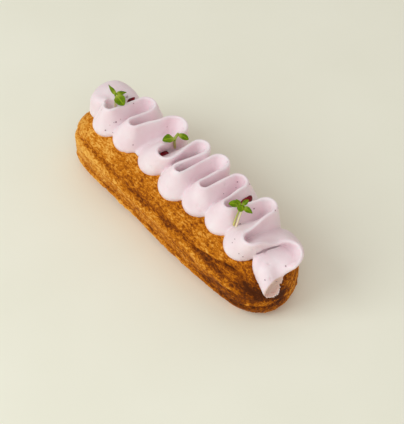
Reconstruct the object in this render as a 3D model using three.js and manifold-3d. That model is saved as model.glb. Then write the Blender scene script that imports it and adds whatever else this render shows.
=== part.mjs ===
// An eclair: a baked choux shell with a ruffled ribbon of piped cream along its top,
// leaf sprigs and drops of jam. Millimetres, +X along the shell, +Z up, standing on z = 0.
import * as THREE from 'three';
import { LoftGeometry } from 'three/addons/geometries/LoftGeometry.js';
import { ParametricGeometry } from 'three/addons/geometries/ParametricGeometry.js';
import { mergeGeometries, mergeVertices } from 'three/addons/utils/BufferGeometryUtils.js';
import Module from 'manifold-3d';

const wasm = await Module();
wasm.setup();
const { degToRad, euclideanModulo, lerp, radToDeg, smoothstep } = THREE.MathUtils;

// Choux shell
const SHELL_LENGTH = 136.5;
const SHELL_HALF_WIDTH = 19.6;
const SHELL_HEIGHT = 31;
const WAIST_HEIGHT = 12; // height of the widest line
const CAP_LENGTH = 25; // length of each rounded end
const CAP_POWER = 2.4; // squareness of the ends seen from above
const CROWN_FALL = 0.8; // how soon the crown drops towards an end
const FOOT_RISE = 0.45; // how late the underside lifts towards an end
const SIDE_POWER = 2.5; // squareness of the section's sides
const TOP_POWER = 2.5;
const FOOT_POWER = 3;
const FOOT_SINK = 0.8; // how far the round underside is baked flat
const NEAR_TUCK = 2.4; // the near side is this much narrower at its left
const NEAR_SWELL = 1.6; // and swells by this much past the middle
const SWELL_RISE = [-20, 15]; // where along the shell that swelling begins and is full
const SWELL_FALL = [30, 45]; // and where half of it is gone again
// Grooves that the nozzle left along the near flank, mirrored on the far one. A negative depth is a ridge.
// Turns and the widths above and below are in degrees round the section. Each groove follows the common
// wander by a share, and fades by its breaks along the shell in beats of that many millimetres.
const GROOVES = [
  { line: 155.5, above: 7, below: 3.6, depth: 1.25, follow: 1, beat: 4.3, breaks: 0.6 },
  { line: 165.5, above: 4, below: 7, depth: -0.8, follow: 0.8, beat: 7.1, breaks: 0.3 },
  { line: 185, above: 2.6, below: 2.2, depth: 0.9, follow: 0.5, beat: 9, breaks: 0.3 },
  { line: 192, above: 2.5, below: 3, depth: -0.5, follow: 0.5, beat: 9, breaks: 0.3 },
];
const GROOVE_WANDER = { turn: 4, reach: 11, start: -17 };
const SLOW_BEAT = { share: 0.63, start: 2 }; // a second, slower beat of each groove
// Cracks that opened along the near flank in the oven: places along the shell and turns in degrees.
const SPLIT_LINE = [
  [26, 152], [28, 151.5], [35.6, 148], [43.8, 143],
  [51, 135.5], [55, 140], [60, 151], [66, 172],
];
const CREASE_LINE = [[31, 182], [38, 183.4], [44, 179.6], [49, 175.4], [57, 173]];
const CRACK_CLOSES = [-2, 1]; // before and past its last place a crack closes
// Each crack's depth goes from the first to the second over a stretch of the shell.
const CRACKS = [
  { line: SPLIT_LINE, above: 7, below: 7, depths: [0, 0.7], over: [40, 58] },
  { line: SPLIT_LINE, above: 2.6, below: 4, depths: [1.05, 0.42], over: [48, 56] },
  { line: CREASE_LINE, above: 3.5, below: 2.4, depths: [0.56, 0.56], over: [31, 57] },
];
// Sections between the rounded ends, sections of each end and points round a section: of the shell, and
// of the plain body without relief that the cream is cut clear of.
const SHELL_DETAIL = { middle: 20, cap: 8, around: 54, relief: 1 };
const CLEAR_DETAIL = { middle: 6, cap: 8, around: 40, relief: 0 };
const FLANK_FOCUS = 0.55; // how much closer the rows of points lie on the flanks
const UPPER_FOCUS = 0.15; // and on the upper half

// Ribbon of cream
const RIBBON_CREST_HALF = 0.75; // half thickness at the thin upper edge
const RIBBON_SEAT_HALF = 4.5; // half thickness at the pastry
const RIBBON_START_HALF = 5.2; // half thickness of the upper edge where piping began
const RIBBON_FLARE = 1.1; // how evenly the wedge thickens downwards
const FOLD_SLANT = degToRad(8); // lean of the folds across the shell
const START_CREST_HEIGHT = 36.4;
const START_ROUND = 0.4; // fullness of the ribbon's first row, so that it begins round
const LOWEST_FOOT = 21; // the ribbon leaves the shell's falling end below this height
const LEVELS = [-0.22, 0.1, 0.38, 0.7, 1]; // shares of the ribbon's height
const ARC_STEPS = 3; // rows of points in half a bend
const WALL_STEPS = 3; // rows of points between two bends
const CREST_STEPS = 3; // steps of the round upper edge
const INNER_CLEARANCE = 0.4; // room kept inside a tight bend
const LEAST_RADIUS = 0.3; // of any bend
const TUCK_LEVEL = 0.18; // share of the height below which the wedge draws in again
const TUCK_SPAN = 0.5; // share of the height over which it would close
const RUN_OUT_FROM = 0.6; // share of the last stretch after which it leaves the shell
const RUN_OUT_DROP = 1.2; // how late its upper edge falls

// Bed of cream that the folds are pressed into, a long rounded bar
const BED_HALF_WIDTH = 10.2;
const BED_HALF_HEIGHT = 3.8;
const BED_LENGTH = 110;
const BED_CENTRE = [2, 4.3, 30];
const BED_SEGMENTS = [4, 12];

// Leaf sprigs: each stem runs from its foot in the cream to its top, where the leaves meet.
// A leaf runs from its base to its tip, and its upper face looks along face.
const STEM_SIDES = 6;
const STEM_STEPS = 4;
const LEAF_HALF_THICKNESS = 0.25;
const LEAF_STEPS = 6;
const LEAF_STRIPS = 4;
const LEAF_CUP = 0.12; // lift of the rim as a share of the leaf's width
// How far along a leaf is widest, and how pointed it is.
const ROUND_LEAF = { peak: 1, point: 0.6 };
const NARROW_LEAF = { peak: 0.62, point: 1 };
const YOUNG_LEAF = { peak: 1.2, point: 0.8 };
const BROAD_LEAF = { peak: 0.8, point: 0.8 };
// A leaf of one of those shapes: its base, tip and width, the way its face looks, and its bow.
function leaf(shape, base, tip, width, face, bow) {
  return { ...shape, base, tip, width, face, bow };
}

const SPRIGS = [
  {
    knot: [-48.9, 2.5, 44.8],
    bud: 0.8,
    stemRadius: 0.45,
    stems: [
      [[-46.9, 0.2, 36.6], [-47.7, 1.0, 41.0], [-48.9, 2.5, 44.8]],
      [[-48.9, 2.5, 44.8], [-48.4, 2.5, 44.9], [-47.8, 2.4, 44.8]],
    ],
    leaves: [
      leaf(NARROW_LEAF, [-48.9, 2.5, 44.8], [-53.7, 2.2, 47.8], 2.0, [0.3, -0.5, 0.8], 0.04),
      leaf(NARROW_LEAF, [-48.9, 2.5, 44.8], [-47.1, 7.2, 44.8], 2.4, [0.3, -0.5, 0.8], 0.06),
      leaf(ROUND_LEAF, [-48.3, 2.4, 44.6], [-41.6, 1.4, 44.2], 5.2, [0.4, -0.3, 0.85], 0.1),
    ],
  },
  {
    knot: [-10.4, 5.1, 44.2],
    bud: 0.75,
    stemRadius: 0.68,
    stems: [
      [[-15.4, 9.0, 31.6], [-12.6, 7.0, 36.5], [-10.4, 5.1, 44.2]],
      [[-10.4, 5.1, 44.2], [-10.4, 6.4, 45.6], [-10.6, 7.6, 46.1]],
    ],
    leaves: [
      leaf(ROUND_LEAF, [-10.4, 5.1, 44.4], [-12.9, 0.3, 44.7], 4.8, [-0.1, -0.3, 0.9], 0.1),
      leaf(ROUND_LEAF, [-10.5, 7.2, 46.0], [-6.7, 10.2, 43.6], 2.8, [0.5, -0.2, 0.8], 0.12),
    ],
  },
  {
    knot: [39.9, 0.1, 45.4],
    bud: 1.65,
    stemRadius: 0.45,
    stems: [
      [[38.3, -2.7, 33.6], [39.3, -2.3, 39.4], [40.2, -1.1, 45.0]],
      [[39.6, -2.5, 33.6], [40.4, -1.7, 39.4], [40.9, -0.2, 45.0]],
    ],
    leaves: [
      leaf(ROUND_LEAF, [38.8, 0.5, 46.2], [35.3, -2.9, 46.6], 3.2, [0.2, -0.4, 0.9], 0.08),
      leaf(YOUNG_LEAF, [39.6, 0.5, 46.2], [37.2, -0.5, 49.0], 1.9, [0.4, -0.5, 0.8], 0.04),
      leaf(YOUNG_LEAF, [39.6, 0.5, 46.2], [40.6, 3.7, 48.6], 2.2, [0.4, -0.5, 0.8], 0.04),
      leaf(BROAD_LEAF, [40.4, 1.0, 45.8], [44.8, 2.3, 44.6], 2.6, [0.5, -0.3, 0.8], 0.08),
    ],
  },
];

// Drops of jam in the valleys of the cream
const JAM_DROPS = [
  { centre: [-44.9, 8.0, 40.9], radii: [0.9, 2.3, 0.8] },
  { centre: [-12.2, 0.2, 35.2], radii: [3.2, 2.9, 2.3] },
  { centre: [32.5, 9.5, 37.3], radii: [2.4, 3.6, 2.0] },
];
const DROP_SEGMENTS = [10, 7];

// Space left between two pieces that touch
const GAP = 0.35;
const RIDGE_GAP = 0.2; // and over the highest ridges of the shell
const SAME_POINT = 1e-4; // points closer than this are one

const CHOUX = { color: 0xb9742a, roughness: 0.75, metalness: 0 };
const CREAM = { color: 0xe8d6de, roughness: 0.55, metalness: 0 };
const LEAF = { color: 0x5f9a1e, roughness: 0.6, metalness: 0 };
const JAM = { color: 0x4a0a1a, roughness: 0.25, metalness: 0 };

const NEAR = -1;
const FAR = 1;

// Bends of the ribbon in the order they were piped. Seat and crest are the bend's centre in plan
// at the pastry and at the upper edge, the third number of the crest is its height.
const BENDS = [
  { side: NEAR, seat: [-47.6, -2.9], seatRadius: 3.8, crest: [-46.6, -3.0, 43.0], crestRadius: 2.8 },
  { side: FAR, seat: [-38.2, 11.2], seatRadius: 5.0, crest: [-37.6, 10.5, 41.5], crestRadius: 4.6 },
  { side: NEAR, seat: [-33.6, -1.8], seatRadius: 4.2, crest: [-31.1, -1.0, 43.0], crestRadius: 2.9 },
  { side: FAR, seat: [-22.3, 10.5], seatRadius: 4.9, crest: [-18.5, 10.9, 42.2], crestRadius: 6.3 },
  { side: NEAR, seat: [-15.6, -1.6], seatRadius: 4.2, crest: [-7.5, -1.6, 43.5], crestRadius: 4.5 },
  { side: FAR, seat: [-4.1, 9.0], seatRadius: 3.6, crest: [0.4, 11.0, 43.8], crestRadius: 4.0 },
  { side: NEAR, seat: [1.9, -3.6], seatRadius: 4.8, crest: [3.6, -3.6, 43.0], crestRadius: 2.7 },
  { side: FAR, seat: [9.9, 9.5], seatRadius: 3.6, crest: [11.7, 12.0, 42.5], crestRadius: 4.4 },
  { side: NEAR, seat: [16.3, -2.2], seatRadius: 4.4, crest: [17.8, -1.3, 43.0], crestRadius: 2.7 },
  { side: FAR, seat: [26.5, 12.0], seatRadius: 5.0, crest: [26.4, 10.0, 43.5], crestRadius: 4.2 },
  { side: NEAR, seat: [30.9, -1.8], seatRadius: 4.2, crest: [33.5, -0.4, 43.0], crestRadius: 3.0 },
  { side: FAR, seat: [42.6, 9.9], seatRadius: 4.2, crest: [44.9, 10.0, 43.5], crestRadius: 4.4 },
  { side: NEAR, seat: [45.9, -4.0], seatRadius: 4.4, crest: [53.0, -4.9, 41.5], crestRadius: 4.1 },
  { side: FAR, seat: [56.6, 10.8], seatRadius: 4.4, crest: [65.8, 3.5, 37.0], crestRadius: 6.2 },
  { side: NEAR, seat: [60.4, -2.0], seatRadius: 4.0, crest: [69.2, -1.0, 28.0], crestRadius: 0.8 },
];

// The first stretch curls round the shell's left end, the last one runs out over its right end.
const START = { seat: [-50.2, 3.5], seatRadius: 9.4, crest: [-49.9, 3.7], crestRadius: 8.2 };
const START_LUMP = { centre: [-53.2, 5.6, 33.6], radii: [12, 10.2, 9], power: 2.3 }; // fills the curl
const START_HOLLOW = { centre: [-48.5, -0.3, 42.6], radii: [2.3, 3.6, 4.2], turn: degToRad(-30) };
const LUMP_SEGMENTS = [18, 10];
const HOLLOW_SEGMENTS = [12, 8];
const START_FROM = degToRad(80);
const START_TO = degToRad(205);
const END = { seat: [69.3, -6.4, 20.0], crest: [69.8, -2.2, 25.5] };

// The roll that the last stretch lies in: place, half width and half height of each section.
const TAIL_ROLL = [
  [55.5, 4.0, 28.0, 4.0, 4.0],
  [58.5, -1.5, 28.2, 5.2, 5.2],
  [62.0, -4.2, 27.2, 5.1, 5.1],
  [65.5, -6.1, 24.6, 4.5, 4.5],
  [69.3, -7.9, 21.1, 3.3, 3.3],
  [69.9, -8.2, 19.9, 2.2, 2.2],
];
// The web of cream along the lower edge of the ribbon's outer wall, told the same way.
const TAIL_WEB = [
  [66.8, -3.2, 27.0, 1.6, 1.6],
  [67.3, -1.4, 27.9, 1.6, 1.6],
  [68.5, 0.5, 30.0, 1.6, 1.6],
  [69.9, 2.3, 32.2, 1.6, 1.6],
  [70.9, 4.4, 33.7, 1.4, 1.4],
];
// The parting between the roll and the stretch before it, a thin blade that leans.
const TAIL_PARTING = [
  [54.6, -7.0, 33.0, 0.2, 0.6],
  [56.0, -3.6, 33.0, 0.5, 1.6],
  [56.8, 0.2, 33.2, 0.55, 1.7],
  [58.1, 4.4, 33.2, 0.5, 1.6],
  [59.6, 7.4, 33.6, 0.2, 0.6],
];
const UPRIGHT = [0, 0, 1];
const PARTING_LEAN = [0.6, -0.1, 0.8];
const ROLL_SIDES = 12;
const WEB_SIDES = 8;
const PARTING_SIDES = 8;
// The hollow of the torn end: its long axis, the way it opens and its radii along, across and deep.
const TORN_END = {
  centre: [71.2, -6.5, 25.3],
  along: [0.18, 0.74, 0.64],
  face: [0.468, -0.638, 0.61],
  radii: [7.2, 3.3, 4.2],
};

function capShare(x) {
  const beyond = Math.max(0, Math.abs(x) - (SHELL_LENGTH / 2 - CAP_LENGTH)) / CAP_LENGTH;
  return (1 - Math.min(1, beyond) ** CAP_POWER) ** (1 / CAP_POWER);
}

function halfWidth(x, near) {
  const swell = smoothstep(x, ...SWELL_RISE) - smoothstep(x, ...SWELL_FALL) / 2;
  return SHELL_HALF_WIDTH - (near ? NEAR_TUCK - NEAR_SWELL * swell : 0);
}

// Height of the shell's upper face over a point of the plan.
function shellTop(x, y) {
  const share = Math.max(capShare(x), SAME_POINT);
  const across = Math.min(1, Math.abs(y) / (halfWidth(x, y < 0) * share));
  const level = Math.sqrt(1 - across ** SIDE_POWER) ** (2 / TOP_POWER);
  return WAIST_HEIGHT + (SHELL_HEIGHT - WAIST_HEIGHT) * level * share ** CROWN_FALL;
}

// Depth of the nozzle's grooves on both flanks, negative on a ridge.
function grooveDepth(x, turn) {
  const wander = GROOVE_WANDER.turn * Math.cos((x - GROOVE_WANDER.start) / GROOVE_WANDER.reach);
  let sum = 0;
  for (const flank of [turn, 180 - turn]) {
    const away = euclideanModulo(flank + 90, 360) - 90;
    for (const { line, above, below, depth, follow, beat, breaks } of GROOVES) {
      const off = away - line - wander * follow;
      const beats = Math.sin(x / beat + line) + Math.sin((SLOW_BEAT.share * x) / beat + SLOW_BEAT.start);
      const fade = lerp(1 - breaks, 1, (2 + beats) / 4);
      sum += depth * fade * Math.exp(-((off / (off < 0 ? above : below)) ** 2));
    }
  }
  return sum;
}

// Turn of a crack's line at a place along the shell.
function lineTurn(line, x) {
  const next = line.findIndex((place) => place[0] > x);
  if (next === 0) return line[0][1];
  if (next < 0) return line.at(-1)[1];
  const [from, to] = [line[next - 1], line[next]];
  return lerp(from[1], to[1], (x - from[0]) / (to[0] - from[0]));
}

function crackDepth(x, turn) {
  return CRACKS.reduce((sum, { line, above, below, depths, over }) => {
    const off = turn - lineTurn(line, x);
    const last = line.at(-1)[0];
    const open = smoothstep(x, line[0][0], line[1][0]);
    const close = smoothstep(x, last + CRACK_CLOSES[0], last + CRACK_CLOSES[1]);
    const depth = lerp(...depths, smoothstep(x, ...over)) * open * (1 - close);
    return sum + depth * Math.exp(-((off / (off < 0 ? above : below)) ** 2));
  }, 0);
}

// A point of the shell: angle 0 is the far side, a quarter turn the top.
function shellPoint(x, angle, relief, grow) {
  const share = capShare(x);
  const cos = Math.cos(angle);
  const sin = Math.sin(angle);
  const degrees = radToDeg(angle);
  const out = grow - relief * (grooveDepth(x, degrees) + crackDepth(x, degrees)) * share;
  const y = Math.sign(cos) * Math.abs(cos) ** (2 / SIDE_POWER) * halfWidth(x, cos < 0) * share;
  const top = (SHELL_HEIGHT - WAIST_HEIGHT) * Math.abs(sin) ** (2 / TOP_POWER) * share ** CROWN_FALL;
  const foot = (WAIST_HEIGHT + FOOT_SINK) * Math.abs(sin) ** (2 / FOOT_POWER) * share ** FOOT_RISE;
  const z = WAIST_HEIGHT + (sin >= 0 ? top : -foot);
  return new THREE.Vector3(x, y + out * cos, Math.max(0, z + out * sin));
}

// Places of the sections: even along the middle, and by even turns round each end.
function stationPlaces({ middle: count, cap: capCount }) {
  const straight = SHELL_LENGTH / 2 - CAP_LENGTH;
  const cap = [];
  for (let i = 1; i <= capCount; i++) {
    cap.push(straight + CAP_LENGTH * Math.sin((i / capCount) * (Math.PI / 2)) ** (2 / CAP_POWER));
  }
  const even = [];
  for (let i = 0; i <= count; i++) even.push(lerp(-straight, straight, i / count));
  return [...cap.map((x) => -x).reverse(), ...even, ...cap];
}

function shellGeometry(detail, grow = 0) {
  const reach = SHELL_LENGTH / 2;
  const sections = [];
  for (const x of stationPlaces(detail)) {
    const section = [];
    for (let j = 0; j < detail.around; j++) {
      const turn = (j / detail.around) * 2 * Math.PI;
      const shift = UPPER_FOCUS * Math.cos(turn) - (FLANK_FOCUS / 2) * Math.sin(2 * turn);
      const point = shellPoint(x, turn + shift, detail.relief, grow);
      point.x *= 1 + grow / reach;
      section.push(point);
    }
    sections.push(section);
  }
  return closedLoft(sections);
}

// Points strictly between two ends, leaving and arriving along the given headings.
function smoothRun(from, heading, to, arrival, steps) {
  const reach = from.distanceTo(to);
  const points = [];
  for (let i = 1; i <= steps; i++) {
    const t = i / (steps + 1);
    const point = from.clone().multiplyScalar(2 * t ** 3 - 3 * t ** 2 + 1);
    point.addScaledVector(heading, reach * (t ** 3 - 2 * t ** 2 + t));
    point.addScaledVector(to, 3 * t ** 2 - 2 * t ** 3);
    point.addScaledVector(arrival, reach * (t ** 3 - t ** 2));
    points.push(point);
  }
  return points;
}

const ALONG = new THREE.Vector2(Math.sin(FOLD_SLANT), Math.cos(FOLD_SLANT));
const ACROSS = new THREE.Vector2(Math.cos(FOLD_SLANT), -Math.sin(FOLD_SLANT));

function between(a, b, share) {
  return new THREE.Vector2(lerp(a[0], b[0], share), lerp(a[1], b[1], share));
}

// Half a bend at one level of the ribbon, from angle to angle in quarter turns.
function bendArc(bend, level, from, to, steps) {
  const centre = between(bend.seat, bend.crest, level);
  const radius = Math.max(LEAST_RADIUS, lerp(bend.seatRadius, bend.crestRadius, level));
  const points = [];
  for (let i = 0; i <= steps; i++) {
    const angle = lerp(from, to, i / steps) * (Math.PI / 2);
    const point = centre.clone().addScaledVector(ACROSS, radius * Math.sin(angle));
    points.push(point.addScaledVector(ALONG, bend.side * radius * Math.cos(angle)));
  }
  return points;
}

function startArc(level) {
  const centre = between(START.seat, START.crest, level);
  const radius = lerp(START.seatRadius, START.crestRadius, level);
  const points = [];
  for (let i = 0; i <= 2 * ARC_STEPS; i++) {
    const angle = lerp(START_FROM, START_TO, i / (2 * ARC_STEPS));
    points.push(new THREE.Vector2(Math.cos(angle), Math.sin(angle)).multiplyScalar(radius).add(centre));
  }
  return points;
}

// The ribbon's middle line in plan at one level, cut into one stretch from bend to bend.
function stretches(level) {
  const list = [];
  let lead = startArc(level);
  let heading = new THREE.Vector2(-Math.sin(START_TO), Math.cos(START_TO));
  BENDS.forEach((bend, index) => {
    const arrival = ALONG.clone().multiplyScalar(bend.side);
    const entry = bendArc(bend, level, -1, 0, ARC_STEPS);
    const wall = smoothRun(lead.at(-1), heading, entry[0], arrival, WALL_STEPS);
    list.push([...lead, ...wall, ...entry]);
    const last = index === BENDS.length - 1;
    lead = bendArc(bend, level, 0, 1, ARC_STEPS);
    heading = arrival.negate();
    if (last) {
      const end = between(END.seat, END.crest, level);
      const run = smoothRun(entry.at(-1), ACROSS, end, ACROSS, WALL_STEPS);
      list[index].push(...run, end);
    }
  });
  return list;
}

// Heights of the ribbon's foot and upper edge, row by row of a stretch.
function stretchProfile(index, seats) {
  const to = BENDS[index];
  const from = BENDS[index - 1];
  const first = index === 0;
  const last = index === BENDS.length - 1;
  const lead = first ? 2 * ARC_STEPS : ARC_STEPS;
  return seats.map((seat, i) => {
    const along = i / (seats.length - 1);
    const share = smoothstep(i, lead, lead + WALL_STEPS + 1);
    const run = last ? smoothstep(along, RUN_OUT_FROM, 1) : 0;
    const drop = last ? Math.sin((along * Math.PI) / 2) ** RUN_OUT_DROP : share;
    const fromCrest = first ? START_CREST_HEIGHT : from.crest[2];
    const toCrest = last ? END.crest[2] : to.crest[2];
    return {
      share,
      swell: first ? Math.sqrt(Math.min(1, (i + START_ROUND) / ARC_STEPS)) : 1,
      foot: lerp(Math.max(LOWEST_FOOT, shellTop(seat.x, seat.y)), END.seat[2], run),
      crest: lerp(fromCrest, toCrest, drop),
      crestHalf: first ? lerp(RIBBON_START_HALF, RIBBON_CREST_HALF, share) : RIBBON_CREST_HALF,
    };
  });
}

function bendRoom(bend, level) {
  const radius = lerp(bend.seatRadius, bend.crestRadius, Math.max(0, level));
  return Math.max(LEAST_RADIUS, radius - INNER_CLEARANCE);
}

// Half thickness of the wedge at one level: thin at the crest, full near the pastry, tucked in below.
function wedgeHalf(level, crestHalf) {
  const full = lerp(RIBBON_SEAT_HALF, crestHalf, Math.max(0, level) ** RIBBON_FLARE);
  const tuck = Math.max(0, TUCK_LEVEL - level) / TUCK_SPAN;
  return full * Math.sqrt(1 - tuck ** 2);
}

// Rings of points round the ribbon for every stretch, left face up, over the crest, right face down.
function ribbonRings() {
  const byLevel = LEVELS.map((level) => stretches(level));
  const seats = stretches(0);
  const profiles = seats.map((row, index) => stretchProfile(index, row));
  const grids = profiles.map((profile, index) =>
    profile.map((row, i) =>
      LEVELS.map((level, j) => {
        const plan = byLevel[j][index][i];
        return new THREE.Vector3(plan.x, plan.y, lerp(row.foot, row.crest, level));
      })
    )
  );
  return grids.map((grid, index) =>
    grid.map((column, i) => {
      const before = grid[i - 1] ?? grids[index - 1]?.at(-2) ?? column;
      const after = grid[i + 1] ?? grids[index + 1]?.[1] ?? column;
      return ribbonRing(column, before, after, profiles[index][i], index);
    })
  );
}

function ribbonRing(column, before, after, row, index) {
  const bend = BENDS[index];
  const previous = BENDS[index - 1];
  // The inside of a near bend is on the left of travel and that of a far bend on the right.
  const [nearBend, farBend] = bend.side === NEAR ? [bend, previous] : [previous, bend];
  const toNear = bend.side === NEAR ? row.share : 1 - row.share;
  const left = [];
  const right = [];
  const crest = [];
  LEVELS.forEach((level, j) => {
    const upper = column[Math.min(LEVELS.length - 1, j + 1)];
    const lower = column[Math.max(0, j - 1)];
    const up = upper.clone().sub(lower).normalize();
    const normal = after[j].clone().sub(before[j]).cross(up).normalize();
    const half = wedgeHalf(level, row.crestHalf) * row.swell;
    const leftHalf = nearBend ? lerp(half, Math.min(half, bendRoom(nearBend, level)), toNear) : half;
    const rightHalf = farBend ? lerp(half, Math.min(half, bendRoom(farBend, level)), 1 - toNear) : half;
    left.push(column[j].clone().addScaledVector(normal, -leftHalf));
    right.push(column[j].clone().addScaledVector(normal, rightHalf));
    if (level < 1) return;
    for (let k = 1; k < CREST_STEPS; k++) {
      const angle = (k / CREST_STEPS) * Math.PI;
      const side = Math.cos(angle) > 0 ? -leftHalf : rightHalf;
      const point = column[j].clone().addScaledVector(normal, side * Math.abs(Math.cos(angle)));
      crest.push(point.addScaledVector(up, row.crestHalf * row.swell * Math.sin(angle)));
    }
  });
  return [...left, ...crest, ...right.reverse()];
}

// A loft closed at both ends by fans round the middle of its first and last ring.
function closedLoft(rings) {
  const fan = (ring) => {
    const middle = ring.reduce((sum, point) => sum.add(point), new THREE.Vector3());
    middle.divideScalar(ring.length);
    return ring.map(() => middle);
  };
  return new LoftGeometry([fan(rings[0]), ...rings, fan(rings.at(-1))]);
}

function solid(geometry) {
  const bare = new THREE.BufferGeometry();
  bare.setAttribute('position', geometry.attributes.position);
  bare.setIndex(geometry.index);
  const merged = mergeVertices(bare, SAME_POINT);
  const index = merged.index.array;
  const triangles = [];
  for (let i = 0; i < index.length; i += 3) {
    const [a, b, c] = [index[i], index[i + 1], index[i + 2]];
    if (a !== b && b !== c && c !== a) triangles.push(a, b, c);
  }
  return new wasm.Manifold(
    new wasm.Mesh({
      numProp: 3,
      vertProperties: Float32Array.from(merged.attributes.position.array),
      triVerts: Uint32Array.from(triangles),
    })
  );
}

function geometryOf(body) {
  const { numProp, vertProperties, triVerts } = body.getMesh();
  const positions = [];
  for (let i = 0; i < vertProperties.length; i += numProp) {
    positions.push(vertProperties[i], vertProperties[i + 1], vertProperties[i + 2]);
  }
  const geometry = new THREE.BufferGeometry();
  geometry.setAttribute('position', new THREE.Float32BufferAttribute(positions, 3));
  geometry.setIndex([...triVerts]);
  geometry.computeVertexNormals();
  return geometry;
}

function piece(name, body, finish) {
  const mesh = new THREE.Mesh(geometryOf(body), new THREE.MeshStandardMaterial(finish));
  mesh.name = name;
  return mesh;
}

// A round with unit radii, a ball for power 2 and fuller towards a box above that.
function roundGeometry(segments, power = 2) {
  const round = new THREE.SphereGeometry(1, ...segments);
  const position = round.attributes.position;
  position.array.forEach((value, i) => {
    position.array[i] = Math.sign(value) * Math.abs(value) ** (2 / power);
  });
  return round;
}

function ellipsoid(centre, radii, grow = 0) {
  const grown = radii.map((radius) => radius + grow);
  return solid(roundGeometry(DROP_SEGMENTS).scale(...grown).translate(...centre));
}

// A bar with round sections swept along its knots, the height of each section leaning towards up.
function sweptBar(knots, up, sides) {
  const places = knots.map((knot) => new THREE.Vector3(...knot));
  const lean = new THREE.Vector3(...up);
  const rings = places.map((place, i) => {
    const before = places[Math.max(0, i - 1)];
    const after = places[Math.min(places.length - 1, i + 1)];
    const heading = after.clone().sub(before).normalize();
    const side = lean.clone().cross(heading).normalize();
    const top = heading.clone().cross(side);
    const [halfWidthHere, halfHeightHere] = knots[i].slice(3);
    return Array.from({ length: sides }, (_, k) => {
      const turn = (k / sides) * 2 * Math.PI;
      const point = place.clone().addScaledVector(side, halfWidthHere * Math.cos(turn));
      return point.addScaledVector(top, halfHeightHere * Math.sin(turn));
    });
  });
  return solid(closedLoft(rings));
}

function startLump() {
  const { centre, radii, power } = START_LUMP;
  return solid(roundGeometry(LUMP_SEGMENTS, power).scale(...radii).translate(...centre));
}

function startHollow() {
  const { centre, radii, turn } = START_HOLLOW;
  return solid(roundGeometry(HOLLOW_SEGMENTS).scale(...radii).rotateZ(turn).translate(...centre));
}

function tornHollow() {
  const face = new THREE.Vector3(...TORN_END.face).normalize();
  const across = face.clone().cross(new THREE.Vector3(...TORN_END.along)).normalize();
  const along = across.clone().cross(face);
  const turned = new THREE.Matrix4().makeBasis(along, across, face).setPosition(...TORN_END.centre);
  return solid(roundGeometry(HOLLOW_SEGMENTS).scale(...TORN_END.radii).applyMatrix4(turned));
}

function ribbonBody() {
  const stretchBodies = ribbonRings().map((rings) => solid(closedLoft(rings)));
  const ribbon = stretchBodies.reduce((body, stretch) => body.add(stretch));
  const bed = new THREE.CapsuleGeometry(BED_HALF_WIDTH, BED_LENGTH - 2 * BED_HALF_WIDTH, ...BED_SEGMENTS);
  bed.rotateZ(Math.PI / 2).scale(1, 1, BED_HALF_HEIGHT / BED_HALF_WIDTH).translate(...BED_CENTRE);
  const roll = sweptBar(TAIL_ROLL, UPRIGHT, ROLL_SIDES).add(sweptBar(TAIL_WEB, UPRIGHT, WEB_SIDES));
  const full = ribbon.add(solid(bed)).add(startLump()).add(roll);
  const parting = sweptBar(TAIL_PARTING, PARTING_LEAN, PARTING_SIDES);
  return full.subtract(startHollow()).subtract(parting).subtract(tornHollow());
}

function stemBody(places, radius) {
  const section = new THREE.Shape();
  for (let i = 0; i < STEM_SIDES; i++) {
    const angle = (i / STEM_SIDES) * 2 * Math.PI;
    const point = [Math.cos(angle), Math.sin(angle)].map((part) => part * radius);
    if (i === 0) section.moveTo(...point);
    else section.lineTo(...point);
  }
  const route = new THREE.CatmullRomCurve3(places.map((place) => new THREE.Vector3(...place)));
  const options = { steps: STEM_STEPS, bevelEnabled: false, extrudePath: route };
  return solid(new THREE.ExtrudeGeometry(section, options));
}

// One face of a leaf: half is how far it stands from the leaf's middle, and the rim is sharp.
function leafFace({ base, tip, width, face, bow, peak, point: narrow }, half) {
  const from = new THREE.Vector3(...base);
  const along = new THREE.Vector3(...tip).sub(from);
  const across = new THREE.Vector3(...face).cross(along).normalize();
  const up = along.clone().cross(across).normalize();
  const surface = (v, u, point) => {
    const swell = u === 0 || u === 1 ? 0 : Math.sin(Math.PI * u);
    const spread = u === 0 || u === 1 ? 0 : Math.sin(Math.PI * u ** peak);
    const side = 2 * v - 1;
    const lift = bow * along.length() * swell + half * swell * (1 - side ** 2);
    const cup = LEAF_CUP * width * swell * side ** 2;
    point.copy(from).addScaledVector(along, u);
    point.addScaledVector(across, (side * width * spread ** narrow) / 2);
    point.addScaledVector(up, lift + cup);
  };
  return new ParametricGeometry(surface, LEAF_STRIPS, LEAF_STEPS);
}

function leafBody(form) {
  const upper = leafFace(form, LEAF_HALF_THICKNESS);
  const lower = leafFace(form, -LEAF_HALF_THICKNESS);
  upper.index.array.reverse();
  return solid(mergeGeometries([upper, lower]));
}

function sprigBody({ knot, bud, stemRadius, stems, leaves }) {
  const top = ellipsoid(knot, [bud, bud, bud]);
  const grown = [...stems.map((places) => stemBody(places, stemRadius)), ...leaves.map(leafBody)];
  return grown.reduce((body, part) => body.add(part), top);
}

// The cream is cut clear of the shell below it and of the stems and drops that sink into it.
function creamBody() {
  const plain = solid(shellGeometry(CLEAR_DETAIL, GAP));
  const ridged = solid(shellGeometry(SHELL_DETAIL, RIDGE_GAP));
  let body = ribbonBody().subtract(plain).subtract(ridged);
  for (const { stems, stemRadius } of SPRIGS) {
    for (const places of stems) {
      const foot = Array(3).fill(stemRadius);
      body = body.subtract(stemBody(places, stemRadius + GAP)).subtract(ellipsoid(places[0], foot, GAP));
    }
  }
  for (const { centre, radii } of JAM_DROPS) body = body.subtract(ellipsoid(centre, radii, GAP));
  return body;
}

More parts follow.
